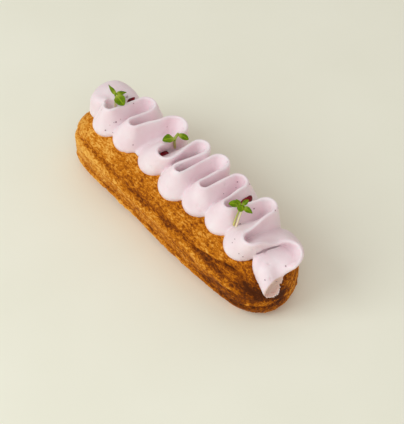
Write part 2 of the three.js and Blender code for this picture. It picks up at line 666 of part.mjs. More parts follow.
const eclair = new THREE.Group();
eclair.add(piece('choux_shell', solid(shellGeometry(SHELL_DETAIL)), CHOUX));
eclair.add(piece('piped_cream', creamBody(), CREAM));
SPRIGS.forEach((sprig, i) => eclair.add(piece(`sprig_${i + 1}`, sprigBody(sprig), LEAF)));
JAM_DROPS.forEach(({ centre, radii }, i) => {
  eclair.add(piece(`jam_drop_${i + 1}`, ellipsoid(centre, radii), JAM));
});

// The origin is the middle of the eclair's outline on the surface it stands on.
const outline = new THREE.Box3().setFromObject(eclair);
const middle = outline.getCenter(new THREE.Vector3());
eclair.position.set(-middle.x, -middle.y, -outline.min.z);

export default eclair;
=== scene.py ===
"""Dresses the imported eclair: baked crust, piped cream, leaf sprigs and jam, in a plain studio.

Sizes are in millimetres, with the middle of the shell at x = 0 and y = 0, until a mesh is written.
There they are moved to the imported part's own frame and turned into metres.
"""
import logging
import math
from dataclasses import dataclass, field
from enum import Enum

import bpy
import numpy as np
from mathutils import Matrix, Vector, noise


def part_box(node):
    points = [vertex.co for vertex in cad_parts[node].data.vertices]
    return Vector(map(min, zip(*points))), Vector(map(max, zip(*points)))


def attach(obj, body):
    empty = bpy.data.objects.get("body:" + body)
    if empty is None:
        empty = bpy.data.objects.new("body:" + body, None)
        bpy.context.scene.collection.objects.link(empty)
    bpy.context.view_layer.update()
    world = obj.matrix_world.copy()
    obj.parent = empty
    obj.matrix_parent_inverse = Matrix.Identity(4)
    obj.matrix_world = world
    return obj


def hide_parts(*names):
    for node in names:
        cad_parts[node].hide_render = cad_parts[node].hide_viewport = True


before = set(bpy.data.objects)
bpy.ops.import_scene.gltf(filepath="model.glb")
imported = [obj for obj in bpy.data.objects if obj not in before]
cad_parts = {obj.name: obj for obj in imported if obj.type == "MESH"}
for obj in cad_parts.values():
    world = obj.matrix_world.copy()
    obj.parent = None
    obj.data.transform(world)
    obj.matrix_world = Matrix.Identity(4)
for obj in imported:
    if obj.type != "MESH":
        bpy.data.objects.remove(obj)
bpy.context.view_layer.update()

MM = 0.001
BODY = "root"
WELD = 1e-6  # metres within which two points of a mesh are one
TINY = 1e-4  # least share of a section that a width is divided by
UP = (0.0, 0.0, 1.0)
RANGE_ENDS = ("From Min", "From Max", "To Min", "To Max")
log = logging.getLogger("eclair")

Span = tuple[float, float]
Point = tuple[float, float, float]
Knot = tuple[float, float, float, float]  # a point and the radius there
Mapped = tuple[float, float, float, float]  # the two ends of a range and what each of them becomes
Places = np.ndarray | Point | tuple[Point | Knot, ...]  # points as an array or as plain numbers
Counts = tuple[int, int]  # rows of a mesh and points round each of them, or across and along it
Gloss = tuple[tuple[str, float], ...]  # inputs of a shader and their values
MaterialParts = tuple[bpy.types.Material, bpy.types.NodeTree, bpy.types.Node, bpy.types.NodeSocket]


class Side(Enum):
    """The side of the shell that a bend of the ribbon turns on."""

    NEAR = -1
    FAR = 1


class Slot(Enum):
    """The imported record's material slots."""

    CHOUX = "baked_choux"
    CREAM = "lilac_cream"
    LEAF = "green_leaf"
    JAM = "red_jam"


# Numbers and curves

def smoothstep(value: np.ndarray, low: float, high: float) -> np.ndarray:
    """Rises smoothly from 0 at low to 1 at high."""
    share = np.clip((np.asarray(value, float) - low) / (high - low), 0, 1)
    return share * share * (3 - 2 * share)


def lerp(start: np.ndarray, end: np.ndarray, share: np.ndarray) -> np.ndarray:
    """Value at a share of the way from start to end."""
    return start + (end - start) * share


def bell(off: np.ndarray, sides: Span) -> np.ndarray:
    """A soft bump, 1 where off is 0, with one half width below 0 and another above."""
    return np.exp(-((off / np.where(off < 0, *sides)) ** 2))


def unit(vectors: np.ndarray) -> np.ndarray:
    """Vectors of the last axis, brought to length 1."""
    return vectors / np.linalg.norm(vectors, axis=-1, keepdims=True)


def turns_round(count: int) -> np.ndarray:
    """Even turns round a full circle, without its end."""
    return np.linspace(0, 2 * math.pi, count, endpoint=False)


def spread(route: Places, count: int) -> np.ndarray:
    """Spreads places evenly over the knots of a route.

    Args:
        route: the knots, one a row, with a radius or not.
        count: how many places there are.

    Returns:
        The places, one a row.
    """
    knots = np.array(route, float)
    way = np.linspace(0, len(knots) - 1, count)
    return np.stack([np.interp(way, np.arange(len(knots)), column) for column in knots.T], axis=1)


def nearness(points: np.ndarray, line: np.ndarray, reach: float) -> np.ndarray:
    """How near points lie to a line, from 1 on it softly down to 0 beyond its reach.

    Args:
        points: the points, one a row.
        line: places along the line, in the same unit.
        reach: the line's half width in that unit.

    Returns:
        The nearness of each point.
    """
    off = np.min([np.linalg.norm(points - spot, axis=1) for spot in line], axis=0) / reach
    return np.exp(-(off**2))


def tube(
    middle: np.ndarray, side: np.ndarray, other: np.ndarray, reach: np.ndarray, around: int
) -> np.ndarray:
    """Rings of points round a middle line.

    Args:
        middle: the line's points, one a row.
        side: the way to the first point of each ring.
        other: the way to the point a quarter turn on.
        reach: how far the rings reach along those ways, row by row.
        around: how many points a ring has.

    Returns:
        The rings, shape (rows, around, 3).
    """
    turns = turns_round(around)[None, :, None]
    ring = side[:, None] * np.cos(turns) + other[:, None] * np.sin(turns)
    return middle[:, None] + reach.reshape(-1, 1, 1) * ring


# Colours and nodes

def linear(hex_colour: str) -> tuple[float, float, float, float]:
    """Turns an sRGB hex colour into linear red, green, blue and full alpha.

    Args:
        hex_colour: six hex digits after a number sign.

    Returns:
        The linear colour with alpha 1.
    """
    parts = [int(hex_colour[i : i + 2], 16) / 255 for i in (1, 3, 5)]
    red, green, blue = (c / 12.92 if c <= 0.04045 else ((c + 0.055) / 1.055) ** 2.4 for c in parts)
    return (red, green, blue, 1.0)


def plug(tree: bpy.types.NodeTree, node: bpy.types.Node, inputs: dict) -> None:
    """Sets or links the inputs of a node.

    Args:
        tree: the node tree that holds the node.
        node: the node.
        inputs: what each input, by name or number, is set to: a value, a socket or a node's first output.
    """
    for name, value in inputs.items():
        source = value.outputs[0] if isinstance(value, bpy.types.Node) else value
        if isinstance(source, bpy.types.NodeSocket):
            tree.links.new(source, node.inputs[name])
        else:
            node.inputs[name].default_value = source


def add_node(
    tree: bpy.types.NodeTree,
    kind: str,
    inputs: dict | None = None,
    stops: tuple[tuple[float, str], ...] = (),
    **settings: object,
) -> bpy.types.Node:
    """Adds a node with its settings, values and links.

    Args:
        tree: the node tree that gets the node.
        kind: the node's type.
        inputs: what each input is set or linked to.
        stops: places and hex colours of a colour ramp.
        settings: the node's own properties.

    Returns:
        The new node.
    """
    node = tree.nodes.new(kind)
    for name, value in settings.items():
        setattr(node, name, value)
    plug(tree, node, inputs or {})
    if stops:
        ramp = node.color_ramp.elements
        while len(ramp) < len(stops):
            ramp.new(0.5)
        for element, (place, colour) in zip(ramp, stops):
            element.position = place
            element.color = linear(colour)
    return node


def range_ends(span: Mapped) -> dict:
    """Names the four numbers of a mapped range as the inputs that take them."""
    return dict(zip(RANGE_ENDS, span))


def new_material(name: str) -> MaterialParts:
    """Makes an empty node material.

    Args:
        name: the material's name.

    Returns:
        The material, its node tree, its shader node and the place on the piece that is shaded.
    """
    material = bpy.data.materials.new(name)
    material.use_nodes = True
    tree = material.node_tree
    place = add_node(tree, "ShaderNodeTexCoord").outputs["Object"]
    return material, tree, tree.nodes["Principled BSDF"], place


# Meshes

def mesh_points(piece: bpy.types.Object, kind: str = "co") -> np.ndarray:
    """Reads the points of a piece's mesh.

    Args:
        piece: the object.
        kind: co for the places in metres, normal for the unit vectors that point outwards there.

    Returns:
        The places or vectors, one a row.
    """
    values = np.zeros(len(piece.data.vertices) * 3)
    piece.data.vertices.foreach_get(kind, values)
    return values.reshape(-1, 3)


def set_mesh_points(piece: bpy.types.Object, points: np.ndarray) -> None:
    """Moves the points of a piece's mesh to the given places in metres."""
    piece.data.vertices.foreach_set("co", points.astype(np.float32).ravel())
    piece.data.update()


def keep_values(piece: bpy.types.Object, name: str, values: np.ndarray) -> None:
    """Keeps a value at each point of a piece's mesh, under a name that its finish reads."""
    layer = piece.data.attributes.new(name, "FLOAT", "POINT")
    layer.data.foreach_set("value", values.astype(np.float32))


def only(piece: bpy.types.Object) -> None:
    """Makes a piece the one selected and active object.

    Args:
        piece: the object.
    """
    bpy.ops.object.select_all(action="DESELECT")
    piece.select_set(True)
    bpy.context.view_layer.objects.active = piece


def new_ball(fineness: int) -> bpy.types.Object:
    """Adds an evenly faceted ball of radius 1, finer with each step of its fineness."""
    bpy.ops.mesh.primitive_ico_sphere_add(subdivisions=fineness, radius=1.0)
    return bpy.context.object


def apply_modifier(piece: bpy.types.Object, kind: str, **settings: object) -> None:
    """Adds a modifier to a piece with its settings and applies it.

    Args:
        piece: the object to modify.
        kind: the modifier's type.
        settings: the modifier's own properties.
    """
    only(piece)
    modifier = piece.modifiers.new(kind.lower(), kind)
    for name, value in settings.items():
        setattr(modifier, name, value)
    bpy.ops.object.modifier_apply(modifier=modifier.name)


def raise_clouds(piece: bpy.types.Object, name: str, size: float, height: float) -> None:
    """Raises and sinks the face of a piece in soft clouds.

    Args:
        piece: the object.
        name: what the clouds are on it.
        size: how wide they are in millimetres.
        height: how high the highest is above the lowest, in millimetres.
    """
    clouds = bpy.data.textures.new(name, "CLOUDS")
    clouds.noise_scale = size * MM
    apply_modifier(
        piece, "DISPLACE", texture=clouds, texture_coords="LOCAL", strength=height * MM, mid_level=0.5)


def cut(piece: bpy.types.Object, cutter: bpy.types.Object) -> None:
    """Cuts a solid out of a piece and takes that solid away."""
    apply_modifier(piece, "BOOLEAN", operation="DIFFERENCE", object=cutter, solver="MANIFOLD")
    bpy.data.objects.remove(cutter)


def joined(name: str, parts: list[bpy.types.Object]) -> bpy.types.Object:
    """Joins several meshes into one object.

    Args:
        name: the joined piece's name.
        parts: the objects to join, the first of which stays.

    Returns:
        The joined piece.
    """
    bpy.ops.object.select_all(action="DESELECT")
    for part in parts:
        part.select_set(True)
    bpy.context.view_layer.objects.active = parts[0]
    bpy.ops.object.join()
    parts[0].name = name
    parts[0].data.name = name
    return parts[0]


def hand_in(piece: bpy.types.Object, node: str | None = None) -> None:
    """Smooths a finished piece's shading, sets it on the body it rides on and hides the solid it stands
    for.

    Args:
        piece: the finished object.
        node: the solid that it replaces, if any.
    """
    only(piece)
    bpy.ops.object.shade_smooth()
    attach(piece, BODY)
    if node:
        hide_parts(node)


@dataclass(frozen=True)
class PartFrame:
    """The step from the shell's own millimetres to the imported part's metres."""

    shift: Point

    def metres(self, points: Places) -> np.ndarray:
        """Places points of the shell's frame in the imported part's frame."""
        return (np.asarray(points, float) + np.array(self.shift)) * MM

    def millimetres(self, points: np.ndarray) -> np.ndarray:
        """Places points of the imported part's frame in the shell's frame."""
        return np.asarray(points, float) / MM - np.array(self.shift)

    def rolled_sheet(self, name: str, rings: np.ndarray) -> bpy.types.Object:
        """Rolls a grid into a closed tube through rings of points.

        Args:
            name: the new piece's name.
            rings: points in millimetres, row by row, shape (rows, around, 3).

        Returns:
            The tube, with its seam welded, its ends closed and its faces outwards.
        """
        rows, around = rings.shape[:2]
        bpy.ops.mesh.primitive_grid_add(x_subdivisions=around, y_subdivisions=rows - 1)
        piece = bpy.context.object
        piece.name = name
        piece.data.name = name
        set_mesh_points(piece, self.metres(np.concatenate([rings, rings[:, :1]], axis=1)))
        bpy.ops.object.mode_set(mode="EDIT")
        bpy.ops.mesh.select_all(action="SELECT")
        bpy.ops.mesh.remove_doubles(threshold=WELD)
        bpy.ops.mesh.fill_holes(sides=0)
        bpy.ops.mesh.select_all(action="SELECT")
        bpy.ops.mesh.normals_make_consistent(inside=False)
        bpy.ops.object.mode_set(mode="OBJECT")
        return piece


# Finishes

@dataclass(frozen=True)
class ChouxCrust:
    """Choux paste baked to a dry crust: flecked gold and a painted highlight on the ridges, brown and
    painted shade in the grooves, and patches baked darker.

    A span gives two values of what it reads, and how much darker each of them makes the crust; read from
    the relief, this is browning mixed with painted shade and highlight.
    """

    gold: str = "#F3B353"
    amber: str = "#CC770F"
    brown: str = "#8D4505"
    dark: str = "#50240A"
    fleck_mm: float = 0.95
    fleck_drawn: Point = (0.5, 1.0, 1.0)
    fleck_height: float = 0.4
    blotch_mm: float = 4.5
    blotch_drawn: Point = (0.4, 1.0, 1.0)
    # by relief: browning with painted shade in the grooves, paler gold with a painted highlight on the
    # ridges
    groove_brown_and_shade_span: Mapped = (-1.4, -0.2, 0.24, 0.0)
    ridge_gold_and_highlight_span: Mapped = (-0.2, 0.7, 0.0, -0.2)
    fleck_span: Mapped = (0.36, 0.64, -0.32, 0.18)
    blotch_span: Mapped = (0.3, 0.7, 0.36, 0.72)

    def material(self) -> bpy.types.Material:
        """Builds the crust: flecks and blotches of browning over the relief, with painted shade in the
        grooves and a painted highlight on the ridges, rough and dry.

        Returns:
            The material.
        """
        material, tree, shader, place = new_material("choux_crust_baked")
        relief = add_node(tree, "ShaderNodeAttribute", attribute_name="relief").outputs["Fac"]
        browning_and_shade = add_node(tree, "ShaderNodeAttribute", attribute_name="bake_and_shade").outputs["Fac"]
        laid = add_node(tree, "ShaderNodeMapping", {"Vector": place, "Scale": self.fleck_drawn})
        flecks = add_node(tree, "ShaderNodeTexNoise", {
            "Vector": laid, "Scale": 1 / (self.fleck_mm * MM), "Detail": 4.0, "Roughness": 0.62,
            "Distortion": 0.8})
        pulled = add_node(tree, "ShaderNodeMapping", {"Vector": place, "Scale": self.blotch_drawn})
        blotches = add_node(tree, "ShaderNodeTexNoise", {
            "Vector": pulled, "Scale": 1 / (self.blotch_mm * MM), "Detail": 5.0, "Roughness": 0.7})
        # the relief spans paint shade into the grooves and a highlight onto the ridges
        for source, span in (
            (relief, self.groove_brown_and_shade_span),
            (relief, self.ridge_gold_and_highlight_span),
            (flecks, self.fleck_span),
            (blotches, self.blotch_span),
        ):
            share = add_node(tree, "ShaderNodeMapRange", {"Value": source, **range_ends(span)})
            browning_and_shade = add_node(tree, "ShaderNodeMath", {0: browning_and_shade, 1: share}, operation="ADD")
        ramp = add_node(tree, "ShaderNodeValToRGB", {"Fac": browning_and_shade}, stops=(
            (0.0, self.gold), (0.36, self.amber), (0.66, self.brown), (1.0, self.dark)))
        bump = add_node(tree, "ShaderNodeBump", {
            "Height": flecks, "Strength": 0.6, "Distance": self.fleck_height * MM})
        plug(tree, shader, {
            "Base Color": ramp, "Normal": bump, "Roughness": 0.6, "Specular IOR Level": 0.07})
        return material


@dataclass(frozen=True)
class WhippedCream:
    """Whipped cream tinted with fruit, piped smooth: a satin face, soft pink where light sinks in."""

    pale: str = "#F7E5EA"
    tint: str = "#F0D8DF"
    # painted shade: a darker, duller pink for the torn end's hollow
    torn_shade: str = "#DCBBB0"
    mottle_mm: float = 9.0
    streak_mm: float = 0.9
    streak_drawn: Point = (1.0, 1.0, 0.12)
    streak_height: float = 0.2
    glow: Point = (1.0, 0.8, 0.86)
    glow_mm: float = 2.2

    def material(self) -> bpy.types.Material:
        """Builds the cream: a faint mottle, painted shade in the torn end's hollow, fine streaks and light
        below its face.

        Returns:
            The material.
        """
        material, tree, shader, place = new_material("whipped_cream_piped")
        mottle = add_node(tree, "ShaderNodeTexNoise", {
            "Vector": place, "Scale": 1 / (self.mottle_mm * MM), "Detail": 3.0})
        ramp = add_node(tree, "ShaderNodeValToRGB", {"Fac": mottle}, stops=(
            (0.3, self.tint), (0.7, self.pale)))
        # the torn end's hollow gets a painted shade
        torn_shade = add_node(tree, "ShaderNodeAttribute", attribute_name="torn_shade").outputs["Fac"]
        painted_shade_mix = add_node(tree, "ShaderNodeMix", data_type="RGBA")
        plug(tree, painted_shade_mix, {"Factor": torn_shade, "A": ramp, "B": linear(self.torn_shade)})
        drawn = add_node(tree, "ShaderNodeMapping", {"Vector": place, "Scale": self.streak_drawn})
        streaks = add_node(tree, "ShaderNodeTexNoise", {
            "Vector": drawn, "Scale": 1 / (self.streak_mm * MM), "Detail": 2.0})
        bump = add_node(tree, "ShaderNodeBump", {
            "Height": streaks, "Strength": 0.12, "Distance": self.streak_height * MM})
        plug(tree, shader, {
            "Base Color": painted_shade_mix.outputs["Result"], "Normal": bump, "Roughness": 0.5, "IOR": 1.45,
            "Subsurface Weight": 0.6, "Subsurface Radius": self.glow,
            "Subsurface Scale": self.glow_mm * MM})
        return material


@dataclass(frozen=True)
class LeafSkin:
    """A fresh seedling leaf: mid green blade, paler veins and foot, a soft waxy sheen.

    A span gives two places on the blade's own map, and how strongly each of them is marked.
    """

    blade: str = "#6F8A06"
    deep: str = "#4E6C03"
    vein: str = "#9DB022"
    young: str = "#B9C04C"
    patch_mm: float = 1.8
    side_veins: int = 6
    vein_rake: float = 0.9
    rib_span: Mapped = (0.02, 0.07, 0.85, 0.0)
    vein_span: Mapped = (0.75, 1.0, 0.0, 0.4)
    foot_span: Mapped = (0.1, 0.45, 0.7, 0.0)
    glow: Point = (0.5, 0.8, 0.1)
    glow_mm: float = 0.5

    def material(self) -> bpy.types.Material:
        """Builds the leaf: a midrib and side veins that follow the blade's own map.

        Returns:
            The material.
        """
        material, tree, shader, place = new_material("seedling_leaf_fresh")
        chart = add_node(tree, "ShaderNodeUVMap", uv_map="UVMap")
        axes = add_node(tree, "ShaderNodeSeparateXYZ", {0: chart})
        along = axes.outputs["Y"]
        from_rib = add_node(tree, "ShaderNodeMath", {0: axes.outputs["X"], 1: 0.5}, operation="SUBTRACT")
        side = add_node(tree, "ShaderNodeMath", {0: from_rib}, operation="ABSOLUTE")
        rib = add_node(tree, "ShaderNodeMapRange", {"Value": side, **range_ends(self.rib_span)})
        slope = add_node(tree, "ShaderNodeMath", {0: side, 1: -self.vein_rake}, operation="MULTIPLY")
        rise = add_node(tree, "ShaderNodeMath", {0: along, 1: slope}, operation="ADD")
        beat = 2 * math.pi * self.side_veins
        turns = add_node(tree, "ShaderNodeMath", {0: rise, 1: beat}, operation="MULTIPLY")
        wave = add_node(tree, "ShaderNodeMath", {0: turns}, operation="SINE")
        veins = add_node(tree, "ShaderNodeMapRange", {"Value": wave, **range_ends(self.vein_span)})
        marks = add_node(tree, "ShaderNodeMath", {0: rib, 1: veins}, operation="MAXIMUM")
        patches = add_node(tree, "ShaderNodeTexNoise", {
            "Vector": place, "Scale": 1 / (self.patch_mm * MM), "Detail": 2.0})
        blade = add_node(tree, "ShaderNodeValToRGB", {"Fac": patches}, stops=(
            (0.35, self.deep), (0.65, self.blade)))
        veined = add_node(tree, "ShaderNodeMix", data_type="RGBA")
        plug(tree, veined, {"Factor": marks, "A": blade, "B": linear(self.vein)})
        foot = add_node(tree, "ShaderNodeMapRange", {"Value": along, **range_ends(self.foot_span)})
        skin = add_node(tree, "ShaderNodeMix", data_type="RGBA")
        plug(tree, skin, {"Factor": foot, "A": veined.outputs["Result"], "B": linear(self.young)})
        plug(tree, shader, {
            "Base Color": skin.outputs["Result"], "Roughness": 0.5, "Specular IOR Level": 0.1,
            "Subsurface Weight": 0.15, "Subsurface Radius": self.glow,
            "Subsurface Scale": self.glow_mm * MM})
        return material


@dataclass(frozen=True)
class StemSkin:
    """A seedling's stem: watery, pale yellow green, paler towards its foot."""

    foot: str = "#E9DCB4"
    head: str = "#A3B03A"
    foot_height: float = 36.0
    head_height: float = 47.0
    glow: Point = (0.8, 0.8, 0.3)
    glow_mm: float = 0.4

    def material(self) -> bpy.types.Material:
        """Builds the stem: pale below and greener above, by height.

        Returns:
            The material.
        """
        material, tree, shader, place = new_material("seedling_stem_fresh")
        height = add_node(tree, "ShaderNodeSeparateXYZ", {0: place}).outputs["Z"]
        share = add_node(tree, "ShaderNodeMapRange", {
            "Value": height, "From Min": self.foot_height * MM, "From Max": self.head_height * MM})
        ramp = add_node(tree, "ShaderNodeValToRGB", {"Fac": share}, stops=(
            (0.0, self.foot), (1.0, self.head)))
        plug(tree, shader, {
            "Base Color": ramp, "Roughness": 0.35, "Subsurface Weight": 0.3, "Subsurface Radius": self.glow,
            "Subsurface Scale": self.glow_mm * MM})
        return material


@dataclass(frozen=True)
class CloudedFinish:
    """A finish of two colours that run into each other in soft clouds."""

    name: str
    dark: str
    light: str
    cloud_mm: float
    blend: Span
    detail: float
    gloss: Gloss

    def material(self) -> bpy.types.Material:
        """Builds the clouds and their gloss.

        Returns:
            The material.
        """
        material, tree, shader, place = new_material(self.name)
        clouds = add_node(tree, "ShaderNodeTexNoise", {
            "Vector": place, "Scale": 1 / (self.cloud_mm * MM), "Detail": self.detail})
        ramp = add_node(tree, "ShaderNodeValToRGB", {"Fac": clouds}, stops=(
            (self.blend[0], self.dark), (self.blend[1], self.light)))
        plug(tree, shader, {"Base Color": ramp, **dict(self.gloss)})
        return material


@dataclass(frozen=True)
class FruitJam(CloudedFinish):
    """Cooked fruit jam: nearly black red, wet and shiny, with brighter red in soft clouds."""

    name: str = "fruit_jam_cooked"
    dark: str = "#4A0812"
    light: str = "#9A1C2C"
    cloud_mm: float = 1.2
    blend: Span = (0.35, 0.7)
    detail: float = 3.0
    gloss: Gloss = (("Roughness", 0.12), ("IOR", 1.42), ("Specular IOR Level", 0.25))


@dataclass(frozen=True)
class FruitSkin(CloudedFinish):
    """Specks of fruit skin in the cream: dull purple brown, lighter and darker from speck to speck."""

    name: str = "fruit_skin_specks"
    dark: str = "#8A6070"
    light: str = "#C0A2AA"
    cloud_mm: float = 2.5
    blend: Span = (0.35, 0.65)
    detail: float = 2.0
    gloss: Gloss = (("Roughness", 0.5),)


@dataclass(frozen=True)
class PaleBoard(CloudedFinish):
    """A plain pale painted board: warm off-white and matt, with a faint unevenness."""

    name: str = "pale_board_painted"
    dark: str = "#F7F2E2"
    light: str = "#FAF5E6"
    cloud_mm: float = 60.0
    blend: Span = (0.3, 0.7)
    detail: float = 2.0
    gloss: Gloss = (("Roughness", 0.6),)


# Baked shell

@dataclass(frozen=True)
class Groove:
    """A long groove of the near flank, mirrored on the far one, or a ridge if its depth is negative.

    Its turn round the section and the half widths of its upper and lower side are in degrees. Wander is
    its share of the shell's wandering, beat is how long its fades along the shell are, and breaks is how
    far it fades there.
    """

    turn: float
    sides: Span
    depth: float
    wander: float
    beat: float
    breaks: float


GROOVES = (
    Groove(155.5, (7.0, 3.6), 1.25, 1.0, 4.3, 0.6),
    Groove(165.5, (4.0, 7.0), -0.8, 0.8, 7.1, 0.3),
    Groove(185.0, (2.6, 2.2), 0.9, 0.5, 9.0, 0.3),
    Groove(192.0, (2.5, 3.0), -0.5, 0.5, 9.0, 0.3),
)


@dataclass(frozen=True)
class BakeMark:
    """A patch of the crust that baked darker, or paler where brown is negative."""

    x: float
    turn: float
    reach: Span
    brown: float


BAKE_MARKS = (
    BakeMark(74.0, 140.0, (15.0, 70.0), 0.82),
    BakeMark(34.0, 168.0, (22.0, 16.0), 0.1),
    BakeMark(6.0, 140.0, (26.0, 16.0), 0.08),
    BakeMark(54.0, 186.0, (16.0, 18.0), 0.26),
    BakeMark(60.0, 153.0, (3.5, 9.0), 0.14),
    BakeMark(56.0, 172.0, (8.0, 5.0), 0.08),
    BakeMark(65.7, 180.0, (3.0, 7.0), -0.52),
    BakeMark(61.0, 182.5, (1.6, 4.0), -0.45),
    BakeMark(-62.0, 150.0, (22.0, 60.0), -0.25),
    BakeMark(-25.0, 197.0, (40.0, 5.0), -0.3),
    BakeMark(-30.0, 128.0, (30.0, 14.0), -0.05),
    BakeMark(20.0, 130.0, (16.0, 16.0), -0.04),
)


@dataclass
class ChouxShell:
    """The baked choux shell: a rounded bar with long grooves and ridges, cracks and a craggy crust.

    Turns round the section are in degrees, 0 at the far side, 90 at the top and 180 at the near side.
    """

    # Plain form
    length: float = 136.5
    half_width: float = 19.6
    height: float = 31.0
    waist_height: float = 12.0
    cap_length: float = 25.0
    cap_power: float = 2.4
    crown_fall: float = 0.8
    foot_rise: float = 0.45
    side_power: float = 2.5
    top_power: float = 2.5
    foot_power: float = 3.0
    foot_sink: float = 0.8
    near_tuck: float = 2.4
    near_swell: float = 1.6
    swell_rise: Span = (-20, 15)
    swell_fall: Span = (30, 45)

    # Wandering and fading of the grooves
    groove_wander: float = 4.0
    wander_reach: float = 11.0
    wander_start: float = -17.0
    second_beat: float = 0.63
    second_start: float = 2.0

    # Cracks of the near flank, as places along the shell and turns there
    crack_line: tuple[Span, ...] = (
        (26, 152), (28, 151.5), (35.6, 148), (43.8, 143), (51, 135.5), (55, 140), (60, 151), (66, 172))
    crease_line: tuple[Span, ...] = ((31, 182), (38, 183.4), (44, 179.6), (49, 175.4), (57, 173))
    crack_depth: float = 1.4
    run_out: Span = (2.0, 1.0)
    hollow_sides: Span = (7.0, 7.0)
    hollow_share: float = 0.5
    hollow_rise: Span = (40, 58)
    split_sides: Span = (1.3, 4.0)
    split_shares: Span = (0.75, 0.3)
    split_fade: Span = (48, 56)
    split_jag: float = 0.7
    jag_length: float = 1.7
    crease_sides: Span = (3.5, 2.0)
    crease_share: float = 0.4

    # Crags, and browning with painted shade in the grooves and cracks
    crags: tuple[tuple[str, float, float], ...] = (
        ("crust_swells", 9.0, 0.9), ("crust_crags", 2.0, 0.55), ("crust_grains", 0.8, 0.34))
    # darkening by groove and crack depth: partly browning, partly painted shade
    groove_brown_and_shade: float = 0.05
    crack_brown_and_shade: float = 0.1
    least_share: float = 0.05
    axis_reach: float = 1.0

    # Mesh
    middle_rows: int = 200
    cap_rows: int = 46
    around: int = 300
    core_step: int = 4
    core_around: int = 96
    finish: ChouxCrust = field(default_factory=ChouxCrust)

    def cap_share(self, x: np.ndarray) -> np.ndarray:
        """Share of the full section that is left at a place along the shell."""
        beyond = (np.abs(x) - (self.length / 2 - self.cap_length)) / self.cap_length
        return (1 - np.clip(beyond, 0, 1) ** self.cap_power) ** (1 / self.cap_power)

    def width_at(self, x: np.ndarray, near: np.ndarray) -> np.ndarray:
        """Half width of the shell's near or far side along its length."""
        swell = smoothstep(x, *self.swell_rise) - smoothstep(x, *self.swell_fall) / 2
        return self.half_width - np.where(near, self.near_tuck - self.near_swell * swell, 0)

    def top(self, x: np.ndarray, y: np.ndarray) -> np.ndarray:
        """Height of the shell's upper face.

        Args:
            x: places along the shell.
            y: places across it.

        Returns:
            The height at each place.
        """
        share = np.maximum(self.cap_share(x), TINY)
        across = np.clip(np.abs(y) / (self.width_at(x, y < 0) * share), 0, 1)
        level = np.sqrt(1 - across**self.side_power) ** (2 / self.top_power)
        return self.waist_height + (self.height - self.waist_height) * level * share**self.crown_fall

    def line_depth(
        self, x: np.ndarray, turn: np.ndarray, line: tuple[Span, ...], sides: Span
    ) -> np.ndarray:
        """How deep a crease is cut at points of the shell.

        Args:
            x: places along the shell.
            turn: turns round the section.
            line: the crease's route as places and turns.
            sides: half widths of its upper and lower side, in degrees.

        Returns:
            The depth as a share of the crease's full depth.
        """
        places, turns = np.array(line, float).T
        before, past = self.run_out
        begun = smoothstep(x, places[0], places[1])
        ended = smoothstep(x, places[-1] - before, places[-1] + past)
        return begun * (1 - ended) * bell(turn - np.interp(x, places, turns), sides)

    def grooves(self, x: np.ndarray, turn: np.ndarray) -> np.ndarray:
        """Depth of the long grooves of both flanks.

        Args:
            x: places along the shell.
            turn: turns round the section.

        Returns:
            The depth at each point, negative on a ridge.
        """
        wander = self.groove_wander * np.cos((x - self.wander_start) / self.wander_reach)
        found = np.zeros(x.shape)
        for flank in (turn, 180 - turn):
            away = (flank + 90) % 360 - 90
            for groove in GROOVES:
                off = away - groove.turn - wander * groove.wander
                beats = np.sin(x / groove.beat + groove.turn)
                beats = beats + np.sin(self.second_beat * x / groove.beat + self.second_start)
                fade = lerp(1 - groove.breaks, 1, 0.5 + 0.25 * beats)
                found += groove.depth * fade * bell(off, groove.sides)
        return found

    def cracks(self, x: np.ndarray, turn: np.ndarray) -> np.ndarray:
        """How deep the near flank's cracks are.

        Args:
            x: places along the shell.
            turn: turns round the section.

        Returns:
            The depth at each point, as a share of the full depth.
        """
        jag = self.split_jag * np.sin(x / self.jag_length)
        hollow = self.line_depth(x, turn, self.crack_line, self.hollow_sides)
        split = self.line_depth(x, turn + jag, self.crack_line, self.split_sides)
        crease = self.line_depth(x, turn, self.crease_line, self.crease_sides)
        hollow_share = self.hollow_share * smoothstep(x, *self.hollow_rise)
        split_share = lerp(*self.split_shares, smoothstep(x, *self.split_fade))
        return hollow_share * hollow + split_share * split + self.crease_share * crease

    def smooth_points(self, x: np.ndarray, angle: np.ndarray, out: np.ndarray) -> np.ndarray:
        """Points of the shell that stand out by given heights.

        Args:
            x: places along the shell.
            angle: turns round the section in radians.
            out: heights of the relief at those points.

        Returns:
            The points in millimetres.
        """
        share = self.cap_share(x)
        cos, sin = np.cos(angle), np.sin(angle)
        y = np.sign(cos) * np.abs(cos) ** (2 / self.side_power) * self.width_at(x, cos < 0) * share
        crown = (self.height - self.waist_height) * np.abs(sin) ** (2 / self.top_power)
        foot = (self.waist_height + self.foot_sink) * np.abs(sin) ** (2 / self.foot_power)
        fall, rise = share**self.crown_fall, share**self.foot_rise
        z = self.waist_height + np.where(sin >= 0, crown * fall, -foot * rise)
        return np.stack([x, y + out * cos, np.maximum(0, z + out * sin)], axis=-1)

    def stations(self) -> np.ndarray:
        """Places of the sections: even along the middle and by even turns round each end.

        Returns:
            The places along the shell, in order.
        """
        straight = self.length / 2 - self.cap_length
        turns = np.arange(1, self.cap_rows + 1) / self.cap_rows * (math.pi / 2)
        cap = straight + self.cap_length * np.sin(turns) ** (2 / self.cap_power)
        cap[-1] = self.length / 2
        return np.concatenate([-cap[::-1], np.linspace(-straight, straight, self.middle_rows), cap])

    def core(self, place: PartFrame, inset: float) -> bpy.types.Object:
        """Makes a plain smaller shell that trims what sits on it.

        Args:
            place: the step to the part's frame.
            inset: how far it lies inside the shell's own face.

        Returns:
            The smaller shell.
        """
        stations = self.stations()[:: self.core_step]
        x, angle = np.meshgrid(stations, turns_round(self.core_around), indexing="ij")
        return place.rolled_sheet("shell_core", self.smooth_points(x, angle, np.full(x.shape, -inset)))

